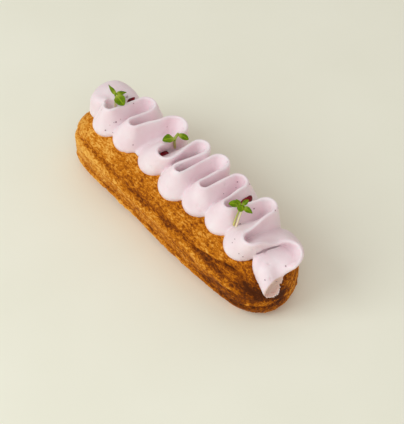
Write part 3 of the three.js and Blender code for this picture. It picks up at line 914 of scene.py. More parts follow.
    def build(self, place: PartFrame) -> bpy.types.Object:
        """Models the shell with its ridges, cracks and crags and dresses it.

        Args:
            place: the step to the part's frame.

        Returns:
            The finished shell.
        """
        x, angle = np.meshgrid(self.stations(), turns_round(self.around), indexing="ij")
        turn = np.degrees(angle)
        out = -(self.grooves(x, turn) + self.crack_depth * self.cracks(x, turn)) * self.cap_share(x)
        piece = place.rolled_sheet("choux_crust", self.smooth_points(x, angle, out))
        for name, size, height in self.crags:
            raise_clouds(piece, name, size, height)
        points = mesh_points(piece)
        points[:, 2] = np.maximum(points[:, 2], 0)
        set_mesh_points(piece, points)
        self.note_browning_and_shade(piece, place)
        piece.data.materials.append(self.finish.material())
        hand_in(piece, "choux_shell")
        return piece

    def note_browning_and_shade(self, piece: bpy.types.Object, place: PartFrame) -> None:
        """Keeps how far each point stands out from the plain shell and how dark it is, from baking and from
        painted shade in its grooves and cracks, for the finish.

        Args:
            piece: the crust.
            place: the step to the part's frame.
        """
        x, y, z = place.millimetres(mesh_points(piece)).T
        share = np.maximum(self.cap_share(x), self.least_share)
        rise = z - self.waist_height
        crown = (self.height - self.waist_height) * share**self.crown_fall
        foot = (self.waist_height + self.foot_sink) * share**self.foot_rise
        power = np.where(rise > 0, self.top_power, self.foot_power)
        across = np.sign(y) * np.abs(y / (self.width_at(x, y < 0) * share)) ** (self.side_power / 2)
        upward = np.sign(rise) * np.abs(rise / np.where(rise > 0, crown, foot)) ** (power / 2)
        size = np.hypot(across, upward) ** (2 / self.side_power)
        reach = np.hypot(y, rise)
        relief = np.where(reach > self.axis_reach, reach * (1 - 1 / np.maximum(size, self.least_share)), 0)
        turn = np.degrees(np.arctan2(upward, across)) % 360
        # darker in the grooves and cracks by their depth: partly browning, partly painted shade
        bake_and_shade = self.groove_brown_and_shade * self.grooves(x, turn) + self.crack_brown_and_shade * self.cracks(x, turn)
        for mark in BAKE_MARKS:
            off = np.hypot((x - mark.x) / mark.reach[0], (turn - mark.turn) / mark.reach[1])
            bake_and_shade += mark.brown * np.exp(-(off**2))
        keep_values(piece, "relief", relief)
        keep_values(piece, "bake_and_shade", bake_and_shade)


# Piped cream

@dataclass(frozen=True)
class Bend:
    """One bend of the ribbon, with its centre and radius at the pastry and at the upper edge."""

    side: Side
    seat: Span
    seat_radius: float
    crest: Point
    crest_radius: float

    def centre(self, level: float) -> np.ndarray:
        """The bend's centre in plan at a level of the ribbon."""
        return lerp(np.array(self.seat), np.array(self.crest[:2]), level)

    def radius(self, level: float) -> float:
        """The bend's radius at a level of the ribbon."""
        return lerp(self.seat_radius, self.crest_radius, level)


BENDS = (
    Bend(Side.NEAR, (-47.6, -2.9), 3.8, (-46.6, -3.0, 43.0), 2.8),
    Bend(Side.FAR, (-38.2, 11.2), 5.0, (-37.6, 10.5, 41.5), 4.6),
    Bend(Side.NEAR, (-33.6, -1.8), 4.2, (-31.1, -1.0, 43.0), 2.9),
    Bend(Side.FAR, (-22.3, 10.5), 4.9, (-18.5, 10.9, 42.2), 6.3),
    Bend(Side.NEAR, (-15.6, -1.6), 4.2, (-7.5, -1.6, 43.5), 4.5),
    Bend(Side.FAR, (-4.1, 9.0), 3.6, (0.4, 11.0, 43.8), 4.0),
    Bend(Side.NEAR, (1.9, -3.6), 4.8, (3.6, -3.6, 43.0), 2.7),
    Bend(Side.FAR, (9.9, 9.5), 3.6, (11.7, 12.0, 42.5), 4.4),
    Bend(Side.NEAR, (16.3, -2.2), 4.4, (17.8, -1.3, 43.0), 2.7),
    Bend(Side.FAR, (26.5, 12.0), 5.0, (26.4, 10.0, 43.5), 4.2),
    Bend(Side.NEAR, (30.9, -1.8), 4.2, (33.5, -0.4, 43.0), 3.0),
    Bend(Side.FAR, (42.6, 9.9), 4.2, (44.9, 10.0, 43.5), 4.4),
    Bend(Side.NEAR, (45.9, -4.0), 4.4, (53.0, -4.9, 41.5), 4.1),
    Bend(Side.FAR, (56.6, 10.8), 4.4, (65.8, 3.5, 37.0), 6.2),
    Bend(Side.NEAR, (60.4, -2.0), 4.0, (69.2, -1.0, 28.0), 0.8),
)


@dataclass
class PipedCream:
    """A ribbon of cream piped in folds along the shell's top, from a curl to a torn end.

    A level of the ribbon is 0 where it sits on the shell and 1 at its upper edge.
    """

    # Ribbon
    crest_half: float = 0.75
    seat_half: float = 4.5
    start_half: float = 5.2
    flare: float = 1.1
    slant: float = math.radians(8)
    lowest_foot: float = 21.0
    lowest_level: float = -0.22
    inner_clearance: float = 0.4
    least_radius: float = 0.3
    tuck_level: float = 0.18
    tuck_span: float = 0.5

    # Starting curl, the lump that fills it and the hollow beside it
    start_height: float = 36.4
    start_round: float = 0.133
    start_seat: Span = (-50.2, 3.5)
    start_seat_radius: float = 9.4
    start_crest: Span = (-49.9, 3.7)
    start_crest_radius: float = 8.2
    start_from: float = math.radians(80)
    start_to: float = math.radians(205)
    lump_centre: Point = (-53.2, 5.6, 33.6)
    lump_radii: Point = (12, 10.2, 9.0)
    lump_power: float = 2.3
    hollow_centre: Point = (-48.5, -0.3, 42.6)
    hollow_radii: Point = (2.3, 3.6, 4.2)
    hollow_turn: float = math.radians(-30)

    # Bed under the folds
    bed_centre: Point = (2, 4.3, 30)
    bed_half: Point = (55, 10.2, 3.8)
    sink: float = 0.6

    # Tail: the run-out, the roll it comes down in and the web along its outer wall
    run_out_from: float = 0.6
    run_out_drop: float = 1.2
    end_seat: Point = (69.3, -6.4, 20.0)
    end_crest: Point = (69.8, -2.2, 25.5)
    roll: tuple[Knot, ...] = (
        (55.5, 4.0, 28.0, 4.0), (58.5, -1.5, 28.2, 5.2), (62.0, -4.2, 27.2, 5.1), (65.5, -6.1, 24.6, 4.5),
        (69.3, -7.9, 21.1, 3.3), (69.9, -8.2, 19.9, 2.2))
    web: tuple[Knot, ...] = (
        (66.8, -3.2, 27.0, 1.6), (67.3, -1.4, 27.9, 1.6), (68.5, 0.5, 30.0, 1.6), (69.9, 2.3, 32.2, 1.6),
        (70.9, 4.4, 33.7, 1.4))

    # Torn end: its hollow and the nicks of its edge
    torn_centre: Point = (71.2, -6.5, 25.3)
    torn_long: Point = (0.18, 0.74, 0.64)
    torn_face: Point = (0.468, -0.638, 0.61)
    torn_radii: Point = (7.2, 3.3, 4.2)
    # where the painted shade of the torn end's hollow fades out
    torn_shade_edge: Span = (1.05, 1.2)
    torn_crag: float = 1.1
    torn_crag_height: float = 0.9
    nicks: tuple[Knot, ...] = (
        (69.6, -2.8, 23.2, 0.95), (70.0, -3.6, 21.6, 0.6), (70.6, -4.7, 20.9, 0.6), (70.8, -6.0, 19.4, 1.0))
    nick_reach: float = 4.0

    # Crease between the last two folds, and the valleys that the nozzle left smooth
    crease: tuple[Point, ...] = (
        (55.3, -5.2, 33.0), (56.0, -3.6, 33.0), (56.8, 0.2, 33.2), (58.1, 4.4, 33.2), (59.6, 7.4, 33.6))
    crease_dip: Point = (-0.6, 0.1, -0.8)
    crease_wide: float = 0.55
    crease_deep: float = 1.7
    crease_ends: Span = (0.04, 0.96)
    crease_half: float = 1.8
    crease_passes: int = 14
    valleys: tuple[tuple[Point, ...], ...] = (
        ((-59.5, 3.0, 41.2), (-57.0, 1.2, 41.6), (-54.0, 0.0, 41.6)),
        ((60.6, 0.3, 32.9), (64.1, -1.4, 31.6), (67.2, -2.4, 29.0)))
    valley_half: float = 3.2
    valley_passes: int = 90
    least_weight: float = 0.02

    # Unevenness: swells, the fine fold of the start and the pits of burst bubbles
    even_passes: int = 7
    swell: float = 6.0
    swell_height: float = 0.35
    fold: tuple[Point, ...] = (
        (-48.6, -5.8, 42.4), (-49.2, -7.0, 39.5), (-50.3, -8.0, 36.7), (-51.8, -8.4, 34.0),
        (-52.8, -8.7, 32.0))
    fold_half: float = 0.7
    fold_depth: float = 0.55
    pits: int = 70
    pit_reach: Span = (0.35, 0.7)
    pit_depth: float = 0.6
    burst: tuple[Knot, ...] = ((-30.2, -6.5, 38.1, 0.6), (57.4, -1.5, 33.5, 0.9))
    seed: int = 11

    # Mesh
    levels: int = 22
    arc_rows: int = 10
    wall_rows: int = 12
    crest_rows: int = 6
    bed_mesh: Counts = (24, 40)
    lump_mesh: Counts = (30, 48)
    bar_mesh: Counts = (25, 32)
    crease_mesh: Counts = (31, 24)
    valley_steps: int = 21
    fold_steps: int = 41
    voxel: float = 0.42
    finish: WhippedCream = field(default_factory=WhippedCream)

    def axes(self) -> tuple[np.ndarray, np.ndarray]:
        """Unit vectors in plan along and across the folds."""
        sin, cos = math.sin(self.slant), math.cos(self.slant)
        return np.array([sin, cos]), np.array([cos, -sin])

    def arc(self, bend: Bend, level: float, start: float, end: float) -> np.ndarray:
        """Part of a bend at one level.

        Args:
            bend: the bend.
            level: the level of the ribbon.
            start: where it starts, in quarter turns from the bend's tip.
            end: where it ends.

        Returns:
            Points in plan, one a row.
        """
        along, across = self.axes()
        turns = np.linspace(start, end, self.arc_rows + 1)[:, None] * (math.pi / 2)
        radius = max(self.least_radius, bend.radius(level))
        way = np.sin(turns) * across + bend.side.value * np.cos(turns) * along
        return bend.centre(level) + radius * way

    def start_arc(self, level: float) -> np.ndarray:
        """The curl that the ribbon starts with, at one level.

        Args:
            level: the level of the ribbon.

        Returns:
            Points in plan, one a row.
        """
        turns = np.linspace(self.start_from, self.start_to, 2 * self.arc_rows + 1)[:, None]
        centre = lerp(np.array(self.start_seat), np.array(self.start_crest), level)
        radius = lerp(self.start_seat_radius, self.start_crest_radius, level)
        return centre + radius * np.concatenate([np.cos(turns), np.sin(turns)], axis=1)

    def run(
        self, start: np.ndarray, heading: np.ndarray, end: np.ndarray, arrival: np.ndarray
    ) -> np.ndarray:
        """A smooth way in plan from one bend to the next.

        Args:
            start: where it starts.
            heading: the unit vector along which it leaves.
            end: where it ends.
            arrival: the unit vector along which it arrives.

        Returns:
            Points strictly between the two ends, one a row.
        """
        t = (np.arange(1, self.wall_rows + 1) / (self.wall_rows + 1))[:, None]
        reach = np.linalg.norm(end - start)
        return (
            start * (2 * t**3 - 3 * t**2 + 1)
            + heading * reach * (t**3 - 2 * t**2 + t)
            + end * (3 * t**2 - 2 * t**3)
            + arrival * reach * (t**3 - t**2)
        )

    def stretches(self, level: float) -> list[np.ndarray]:
        """The ribbon's middle line in plan at one level.

        Args:
            level: the level of the ribbon.

        Returns:
            The points of each stretch, from the tip of one bend to the tip of the next.
        """
        along, across = self.axes()
        lead = self.start_arc(level)
        heading = np.array([-math.sin(self.start_to), math.cos(self.start_to)])
        found = []
        for bend in BENDS:
            arrival = along * bend.side.value
            entry = self.arc(bend, level, -1, 0)
            wall = self.run(lead[-1], heading, entry[0], arrival)
            found.append(np.concatenate([lead, wall, entry]))
            lead = self.arc(bend, level, 0, 1)
            heading = -arrival
        end = lerp(np.array(self.end_seat[:2]), np.array(self.end_crest[:2]), level)
        out = self.run(found[-1][-1], across, end, across)
        found[-1] = np.concatenate([found[-1], out, end[None]])
        return found

    def profile(self, index: int, seats: np.ndarray, shell: ChouxShell) -> np.ndarray:
        """How the ribbon stands along one stretch.

        Args:
            index: the stretch's number.
            seats: the points where it sits, in plan.
            shell: the shell it sits on.

        Returns:
            Row by row the way to the next bend, fullness, foot, upper edge and that edge's half thickness.
        """
        first, last = index == 0, index == len(BENDS) - 1
        rows = np.arange(len(seats))
        lead = (2 if first else 1) * self.arc_rows
        share = smoothstep(rows, lead, lead + self.wall_rows + 1)
        along = rows / (len(seats) - 1)
        full, half = np.ones(len(rows)), np.full(len(rows), self.crest_half)
        start = self.start_height if first else BENDS[index - 1].crest[2]
        end = self.end_crest[2] if last else BENDS[index].crest[2]
        foot = np.maximum(self.lowest_foot, shell.top(seats[:, 0], seats[:, 1]))
        drop = share
        if first:
            full = np.sqrt(np.minimum(1, rows / self.arc_rows + self.start_round))
            half = lerp(self.start_half, self.crest_half, share)
        if last:
            foot = lerp(foot, self.end_seat[2], smoothstep(along, self.run_out_from, 1))
            drop = np.sin(along * math.pi / 2) ** self.run_out_drop
        return np.stack([share, full, foot, lerp(start, end, drop), half], axis=1)

    def room(self, index: int, level: np.ndarray) -> np.ndarray:
        """Half thickness that fits inside a bend.

        Args:
            index: the bend's number, below 0 before the first.
            level: levels of the ribbon.

        Returns:
            The half thickness at each level.
        """
        if index < 0:
            return np.full(len(level), np.inf)
        radius = BENDS[index].radius(np.maximum(0, level))
        return np.maximum(self.least_radius, radius - self.inner_clearance)

    def halves(self, index: int, rows: np.ndarray, level: np.ndarray) -> np.ndarray:
        """How thick the ribbon is along one stretch.

        Args:
            index: the stretch's number.
            rows: the stretch's profile.
            level: levels of the ribbon.

        Returns:
            Its half thickness to the left and to the right and the rise of its upper edge, row by row
            and level by level.
        """
        share, swell, _, _, crest = rows.T
        full = lerp(self.seat_half, crest[:, None], np.maximum(0, level)[None] ** self.flare)
        tuck = np.maximum(0, self.tuck_level - level) / self.tuck_span
        half = full * np.sqrt(1 - tuck**2)[None] * swell[:, None]
        near, far = (index, index - 1) if BENDS[index].side is Side.NEAR else (index - 1, index)
        to_near = (share if near == index else 1 - share)[:, None]
        left = lerp(half, np.minimum(half, self.room(near, level)[None]), to_near)
        right = lerp(half, np.minimum(half, self.room(far, level)[None]), 1 - to_near)
        return np.stack([left, right, np.broadcast_to((crest * swell)[:, None], half.shape)])

    def rings(self, shell: ChouxShell) -> np.ndarray:
        """Rings of points round the ribbon.

        Args:
            shell: the shell it sits on.

        Returns:
            The rings, each up the left face, over the upper edge and down the right face.
        """
        level = np.linspace(self.lowest_level, 1, self.levels)
        plans = [self.stretches(one) for one in level]
        seats = self.stretches(0)
        middle, sheet = [], []
        for index in range(len(BENDS)):
            rows = self.profile(index, seats[index], shell)
            plan = np.stack([plans[j][index] for j in range(self.levels)], axis=1)
            height = lerp(rows[:, 2:3], rows[:, 3:4], level[None])
            skip = 1 if index else 0
            middle.append(np.concatenate([plan, height[..., None]], axis=2)[skip:])
            sheet.append(self.halves(index, rows, level)[:, skip:])
        column = np.concatenate(middle)
        left, right, lip = np.concatenate(sheet, axis=1)
        up = unit(np.gradient(column, axis=1))
        normal = unit(np.cross(np.gradient(column, axis=0), up))
        faces = [column - normal * left[..., None], column + normal * right[..., None]]
        edge = []
        for turn in np.arange(1, self.crest_rows) / self.crest_rows * math.pi:
            half = np.where(math.cos(turn) > 0, -left[:, -1], right[:, -1])[:, None]
            out = normal[:, -1] * half * abs(math.cos(turn))
            edge.append(column[:, -1] + out + up[:, -1] * lip[:, -1:] * math.sin(turn))
        return np.concatenate([faces[0], np.stack(edge, axis=1), faces[1][:, ::-1]], axis=1)

    def bed(self, place: PartFrame) -> bpy.types.Object:
        """Makes the long rounded bar of cream that the folds are pressed into.

        Args:
            place: the step to the part's frame.

        Returns:
            The bed.
        """
        reach, wide, tall = self.bed_half
        rows, around = self.bed_mesh
        turns = np.linspace(-math.pi / 2, math.pi / 2, rows)
        angle = turns_round(around)
        ring = np.stack([np.zeros(around), wide * np.cos(angle), tall * np.sin(angle)], axis=1)
        rings = ring[None] * np.cos(turns)[:, None, None]
        rings[..., 0] = (np.where(turns < 0, -1, 1) * (reach - wide) + wide * np.sin(turns))[:, None]
        return place.rolled_sheet("cream_bed", rings + self.bed_centre)

    def fuller(self, value: np.ndarray) -> np.ndarray:
        """Swells a sine or cosine, so that the round it draws is fuller than a ball."""
        return np.sign(value) * np.abs(value) ** (2 / self.lump_power)

    def lump(self, place: PartFrame) -> bpy.types.Object:
        """Makes the lump of cream that fills the starting curl.

        Args:
            place: the step to the part's frame.

        Returns:
            The lump.
        """
        rows, around = self.lump_mesh
        turns = np.linspace(-math.pi / 2, math.pi / 2, rows)[:, None]
        angle = turns_round(around)[None]
        wide = self.fuller(np.cos(turns))
        x, y = wide * self.fuller(np.cos(angle)), wide * self.fuller(np.sin(angle))
        ball = np.stack([x, y, np.broadcast_to(self.fuller(np.sin(turns)), x.shape)], axis=-1)
        return place.rolled_sheet("cream_lump", ball * self.lump_radii + self.lump_centre)

    def tail_bar(self, place: PartFrame, route: tuple[Knot, ...]) -> bpy.types.Object:
        """Makes a round bar of cream along the ribbon's last stretch, where it comes down.

        Args:
            place: the step to the part's frame.
            route: the bar's middle line and radius.

        Returns:
            The bar.
        """
        rows, around = self.bar_mesh
        spots = spread(route, rows)
        heading = unit(np.gradient(spots[:, :3], axis=0))
        side = unit(np.cross(heading, UP))
        rings = tube(spots[:, :3], side, np.cross(side, heading), spots[:, 3], around)
        return place.rolled_sheet("cream_roll", rings)

    def crease_blade(self, place: PartFrame) -> bpy.types.Object:
        """Makes the thin blade that parts the last two folds.

        Args:
            place: the step to the part's frame.

        Returns:
            The blade.
        """
        rows, around = self.crease_mesh
        spots = spread(self.crease, rows)
        heading = unit(np.gradient(spots, axis=0))
        dip = unit(np.array(self.crease_dip) - heading * (heading @ np.array(self.crease_dip))[:, None])
        fade = np.sqrt(np.sin(np.linspace(*self.crease_ends, rows) * math.pi))
        wide, deep = np.cross(heading, dip) * self.crease_wide, dip * self.crease_deep
        return place.rolled_sheet("crease_blade", tube(spots, wide, deep, fade, around))

    def torn_axes(self) -> np.ndarray:
        """The way of the torn end's hollow.

        Returns:
            Its half axes, one a row: along, across and deep.
        """
        face = unit(np.array(self.torn_face))
        along = np.array(self.torn_long)
        along = unit(along - face * (face @ along))
        return np.stack([along, np.cross(face, along), face]) * np.array(self.torn_radii)[:, None]

    def torn_cutter(self, place: PartFrame) -> bpy.types.Object:
        """Makes the uneven round that leaves the torn end hollow.

        Args:
            place: the step to the part's frame.

        Returns:
            The round.
        """
        piece = new_ball(fineness=5)
        points = mesh_points(piece) @ self.torn_axes() + self.torn_centre
        set_mesh_points(piece, place.metres(points))
        raise_clouds(piece, "torn_crags", self.torn_crag, self.torn_crag_height)
        return piece

    def nick_cutter(self, place: PartFrame, nick: Knot) -> bpy.types.Object:
        """Makes a small round, drawn out through the torn end's edge, that leaves a nick in it.

        Args:
            place: the step to the part's frame.
            nick: its middle and radius.

        Returns:
            The round.
        """
        *centre, radius = nick
        piece = new_ball(fineness=3)
        ball = mesh_points(piece)
        through = self.torn_axes()[2] / self.torn_radii[2]
        drawn = radius * (ball + self.nick_reach * np.outer(ball @ through, through))
        set_mesh_points(piece, place.metres(drawn + centre))
        return piece

    def hollow_cutter(self, place: PartFrame) -> bpy.types.Object:
        """Makes the upright round that leaves the hollow between the starting curl and the first fold.

        Args:
            place: the step to the part's frame.

        Returns:
            The round.
        """
        piece = new_ball(fineness=4)
        set_mesh_points(piece, mesh_points(piece) * MM)
        piece.location = place.metres(self.hollow_centre)
        piece.scale = self.hollow_radii
        piece.rotation_euler = (0, 0, self.hollow_turn)
        return piece

    def soften(self, piece: bpy.types.Object, line: np.ndarray, half: float, passes: int) -> None:
        """Works one valley smooth, most along its middle line and less away from it.

        Args:
            piece: the cream.
            line: the valley's knots in metres.
            half: how far from its middle line it is worked, in millimetres.
            passes: how often it is worked over.
        """
        group = piece.vertex_groups.new(name="valley")
        weights = nearness(mesh_points(piece), spread(line, self.valley_steps), half * MM)
        for index in np.flatnonzero(weights > self.least_weight):
            group.add([int(index)], float(weights[index]), "REPLACE")
        apply_modifier(piece, "SMOOTH", factor=0.5, iterations=passes, vertex_group="valley")
        piece.vertex_groups.clear()

    def build(self, place: PartFrame, shell: ChouxShell) -> bpy.types.Object:
        """Models the ribbon, its bed and its lump as one body, trims it to the shell and dresses it.

        Args:
            place: the step to the part's frame.
            shell: the shell it sits on.

        Returns:
            The finished cream.
        """
        ribbon = place.rolled_sheet("cream_ribbon", self.rings(shell))
        bars = [self.tail_bar(place, route) for route in (self.roll, self.web)]
        piece = joined("piped_ribbon", [ribbon, self.bed(place), self.lump(place), *bars])
        apply_modifier(piece, "REMESH", mode="VOXEL", voxel_size=self.voxel * MM)
        cut(piece, self.hollow_cutter(place))
        apply_modifier(piece, "SMOOTH", factor=0.5, iterations=self.even_passes)
        for valley in self.valleys:
            self.soften(piece, place.metres(valley), self.valley_half, self.valley_passes)
        cutters = [shell.core(place, self.sink), self.crease_blade(place), self.torn_cutter(place)]
        cutters += [self.nick_cutter(place, nick) for nick in self.nicks]
        for cutter in cutters:
            cut(piece, cutter)
        self.soften(piece, place.metres(self.crease), self.crease_half, self.crease_passes)
        self.uneven(piece, place)
        self.note_torn_shade(piece, place)
        piece.data.materials.clear()
        piece.data.materials.append(self.finish.material())
        hand_in(piece, "piped_cream")
        return piece

    def uneven(self, piece: bpy.types.Object, place: PartFrame) -> None:
        """Gives the cream its slight unevenness, the fold of its start and the pits of burst bubbles.

        Args:
            piece: the cream.
            place: the step to the part's frame.
        """
        raise_clouds(piece, "cream_swells", self.swell, self.swell_height)
        points, normals = mesh_points(piece), mesh_points(piece, "normal")
        fold = nearness(points, place.metres(spread(self.fold, self.fold_steps)), self.fold_half * MM)
        moved = points - normals * (self.fold_depth * MM * fold)[:, None]
        draw = np.random.default_rng(self.seed)
        chosen = draw.choice(len(points), self.pits, replace=False)
        spots = [(points[index], draw.uniform(*self.pit_reach)) for index in chosen]
        spots += [(place.metres(centre), reach) for *centre, reach in self.burst]
        for spot, reach in spots:
            wide = reach * MM
            moved -= normals * (self.pit_depth * wide * nearness(points, spot[None], wide))[:, None]
        set_mesh_points(piece, moved)

    def note_torn_shade(self, piece: bpy.types.Object, place: PartFrame) -> None:
        """Keeps which points lie in the torn end's hollow, for the painted shade that the finish gives
        them.

        Args:
            piece: the cream.
            place: the step to the part's frame.
        """
        axes = self.torn_axes()
        away = (place.millimetres(mesh_points(piece)) - self.torn_centre) @ axes.T
        share = np.linalg.norm(away / np.sum(axes**2, axis=1), axis=1)
        keep_values(piece, "torn_shade", 1 - smoothstep(share, *self.torn_shade_edge))


@dataclass
class FruitSpecks:
    """Specks of fruit skin in the cream's face: those that show, and others scattered over the rest."""

    count: int = 36
    sizes: Span = (0.14, 0.3)
    stretch: Span = (0.7, 1.8)
    flatness: float = 0.45
    lowest: float = 26.0
    seed: int = 5
    seen: tuple[Knot, ...] = (
        (-46.8, 7.5, 43.1, 0.5), (-41.6, -3.7, 37.1, 0.42), (-43.3, -8.6, 33.7, 0.34),
        (-41.4, -1.4, 37.3, 0.24), (-42.4, -6.5, 36.2, 0.22), (-42.0, 7.1, 41.6, 0.3),
        (24.1, 12.3, 40.1, 0.34), (30.1, 13.2, 42.8, 0.32), (23.9, 8.9, 34.5, 0.28),
        (40.5, 6.9, 40.4, 0.36), (39.6, -0.2, 34.4, 0.5), (46.7, -10.2, 36.6, 0.24),
        (47.0, -9.2, 38.3, 0.22), (51.3, -10.8, 34.3, 0.26), (68.3, 0.8, 32.0, 0.36),
        (66.7, -3.3, 25.6, 0.3))
    finish: FruitSkin = field(default_factory=FruitSkin)

    def build(self, place: PartFrame, cream: bpy.types.Object) -> bpy.types.Object:
        """Makes one small speck and sets uneven copies of it into the cream's face as one mesh.

        Args:
            place: the step to the part's frame.
            cream: the finished cream.

        Returns:
            The specks.
        """
        speck = new_ball(fineness=2)
        ball = mesh_points(speck)
        faces = np.array([tuple(face.vertices) for face in speck.data.polygons])
        bpy.data.objects.remove(speck)
        points, normals = mesh_points(cream), mesh_points(cream, "normal")
        draw = np.random.default_rng(self.seed)
        chosen = draw.choice(np.flatnonzero(points[:, 2] > self.lowest * MM), self.count, replace=False)
        spots = [(index, draw.uniform(*self.sizes)) for index in chosen]
        for *spot, reach in self.seen:
            spots.append((np.linalg.norm(points - place.metres(spot), axis=1).argmin(), reach))
        placed = []
        for index, reach in spots:
            turn = Vector(normals[index]).to_track_quat("Z", "Y").to_matrix()
            size = reach * MM * np.array([draw.uniform(*self.stretch), 1, self.flatness])
            placed.append(points[index] + (ball * size) @ np.array(turn).T)
        mesh = bpy.data.meshes.new("fruit_specks")
        offsets = np.arange(len(spots))[:, None, None] * len(ball)
        corners = (faces[None] + offsets).reshape(-1, 3).tolist()
        mesh.from_pydata(np.concatenate(placed).tolist(), [], corners)
        piece = bpy.data.objects.new("fruit_specks", mesh)
        bpy.context.scene.collection.objects.link(piece)
        mesh.materials.append(self.finish.material())
        hand_in(piece)
        return piece


# Leaf sprigs

@dataclass(frozen=True)
class Leaf:
    """One leaf from its base to its tip, with its width, the way its face looks and its bow.

    Peak sets how far along it is widest and point how full it is. Its rims are cupped up and run in waves.
    """

    base: Point
    tip: Point
    width: float
    face: Point
    bow: float
    peak: float = 1.0
    point: float = 0.6
    least_half: float = 0.18
    cup: float = 0.12
    cup_power: float = 1.5
    wave: float = 0.05
    wave_rate: float = 9.0
    wave_start: float = 1.0

    def points(self, strips: int, steps: int) -> np.ndarray:
        """Points of the blade's middle face.

        Args:
            strips: how many points lie across it.
            steps: how many points lie along it.

        Returns:
            The points in millimetres, shape (steps, strips, 3).
        """
        start, along = np.array(self.base), np.array(self.tip) - np.array(self.base)
        across = unit(np.cross(np.array(self.face), along))
        up = unit(np.cross(along, across))
        way, side = np.meshgrid(np.linspace(0, 1, steps), np.linspace(-1, 1, strips), indexing="ij")
        swell = np.clip(np.sin(math.pi * way), 0, 1)
        full = np.clip(np.sin(math.pi * way**self.peak), 0, 1) ** self.point
        half = np.maximum(self.width / 2 * full, self.least_half)
        wave = self.wave * self.width * np.sin(self.wave_rate * way + self.wave_start) * side * np.abs(side)
        cup = self.cup * self.width * swell * np.abs(side) ** self.cup_power
        lift = self.bow * np.linalg.norm(along) * swell + cup + wave
        return start + along * way[..., None] + across * (side * half)[..., None] + up * lift[..., None]


@dataclass
class Sprig:
    """A seedling sprig: stems that rise from the cream to a bud, and the leaves that spread from it.

    A stem is told by its foot, a point it passes through halfway and its head.
    """

    node: str
    bud: float
    knot: Point
    stems: tuple[tuple[Point, Point, Point], ...]
    leaves: tuple[Leaf, ...]
    stem_radius: float = 0.45
    stem_foot: float = 1.1
    stem_taper: float = 0.25
    off_stem: Point = (0.3, 1.0, 0.1)  # a way that no stem takes
    thickness: float = 0.4
    bud_lumps: float = 0.12
    stem_mesh: Counts = (15, 14)
    leaf_mesh: Counts = (9, 15)
    bud_mesh: Counts = (20, 12)
    leaf_finish: LeafSkin = field(default_factory=LeafSkin)
    stem_finishes: tuple[StemSkin, ...] = (StemSkin(),)

    def stem(self, place: PartFrame, route: tuple[Point, Point, Point]) -> bpy.types.Object:
        """Makes a round stem along a smooth route, a little thicker at its foot.

        Args:
            place: the step to the part's frame.
            route: its foot, the point halfway and its head.

        Returns:
            The stem.
        """
        rows, around = self.stem_mesh
        low, mid, high = (np.array(point) for point in route)
        way = np.linspace(0, 1, rows)[:, None]
        through = 2 * mid - (low + high) / 2
        middle = low * (1 - way) ** 2 + through * 2 * way * (1 - way) + high * way**2
        heading = unit(np.gradient(middle, axis=0))
        side = unit(np.cross(heading, self.off_stem))
        radius = self.stem_radius * (self.stem_foot - self.stem_taper * way)
        return place.rolled_sheet("stem", tube(middle, side, np.cross(heading, side), radius, around))

    def blade(self, place: PartFrame, leaf: Leaf) -> bpy.types.Object:
        """Makes one leaf: a grid bent to its form, given its thickness and rounded.

        Args:
            place: the step to the part's frame.
            leaf: the leaf.

        Returns:
            The leaf's blade.
        """
        strips, steps = self.leaf_mesh
        bpy.ops.mesh.primitive_grid_add(x_subdivisions=strips - 1, y_subdivisions=steps - 1, calc_uvs=True)
        piece = bpy.context.object
        set_mesh_points(piece, place.metres(leaf.points(strips, steps)))
        apply_modifier(piece, "SOLIDIFY", thickness=self.thickness * MM, offset=0.0)
        apply_modifier(piece, "SUBSURF", levels=1, render_levels=1)
        return piece

    def bud_ball(self, place: PartFrame) -> bpy.types.Object:
        """Makes the knot where the stems and leaves meet.

        Args:
            place: the step to the part's frame.

        Returns:
            The bud.
        """
        segments, rings = self.bud_mesh
        bpy.ops.mesh.primitive_uv_sphere_add(segments=segments, ring_count=rings, radius=self.bud * MM)
        piece = bpy.context.object
        points = mesh_points(piece)
        lumps = np.array([noise.noise(Vector(point) / MM) for point in points])
        points *= 1 + self.bud_lumps * lumps[:, None]
        set_mesh_points(piece, points + place.metres(self.knot))
        return piece

    def build(self, place: PartFrame) -> bpy.types.Object:
        """Models the sprig's stems, bud and leaves as one piece and dresses them.

        Args:
            place: the step to the part's frame.

        Returns:
            The finished sprig.
        """
        leaf_skin = self.leaf_finish.material()
        stem_skins = [finish.material() for finish in self.stem_finishes]
        stems = [self.stem(place, route) for route in self.stems]
        for number, stem in enumerate(stems):
            stem.data.materials.append(stem_skins[number % len(stem_skins)])
        blades = [self.blade(place, leaf) for leaf in self.leaves] + [self.bud_ball(place)]
        for blade in blades:
            blade.data.materials.append(leaf_skin)
        piece = joined(self.node.replace("sprig", "seedling"), blades + stems)
        hand_in(piece, self.node)
        return piece


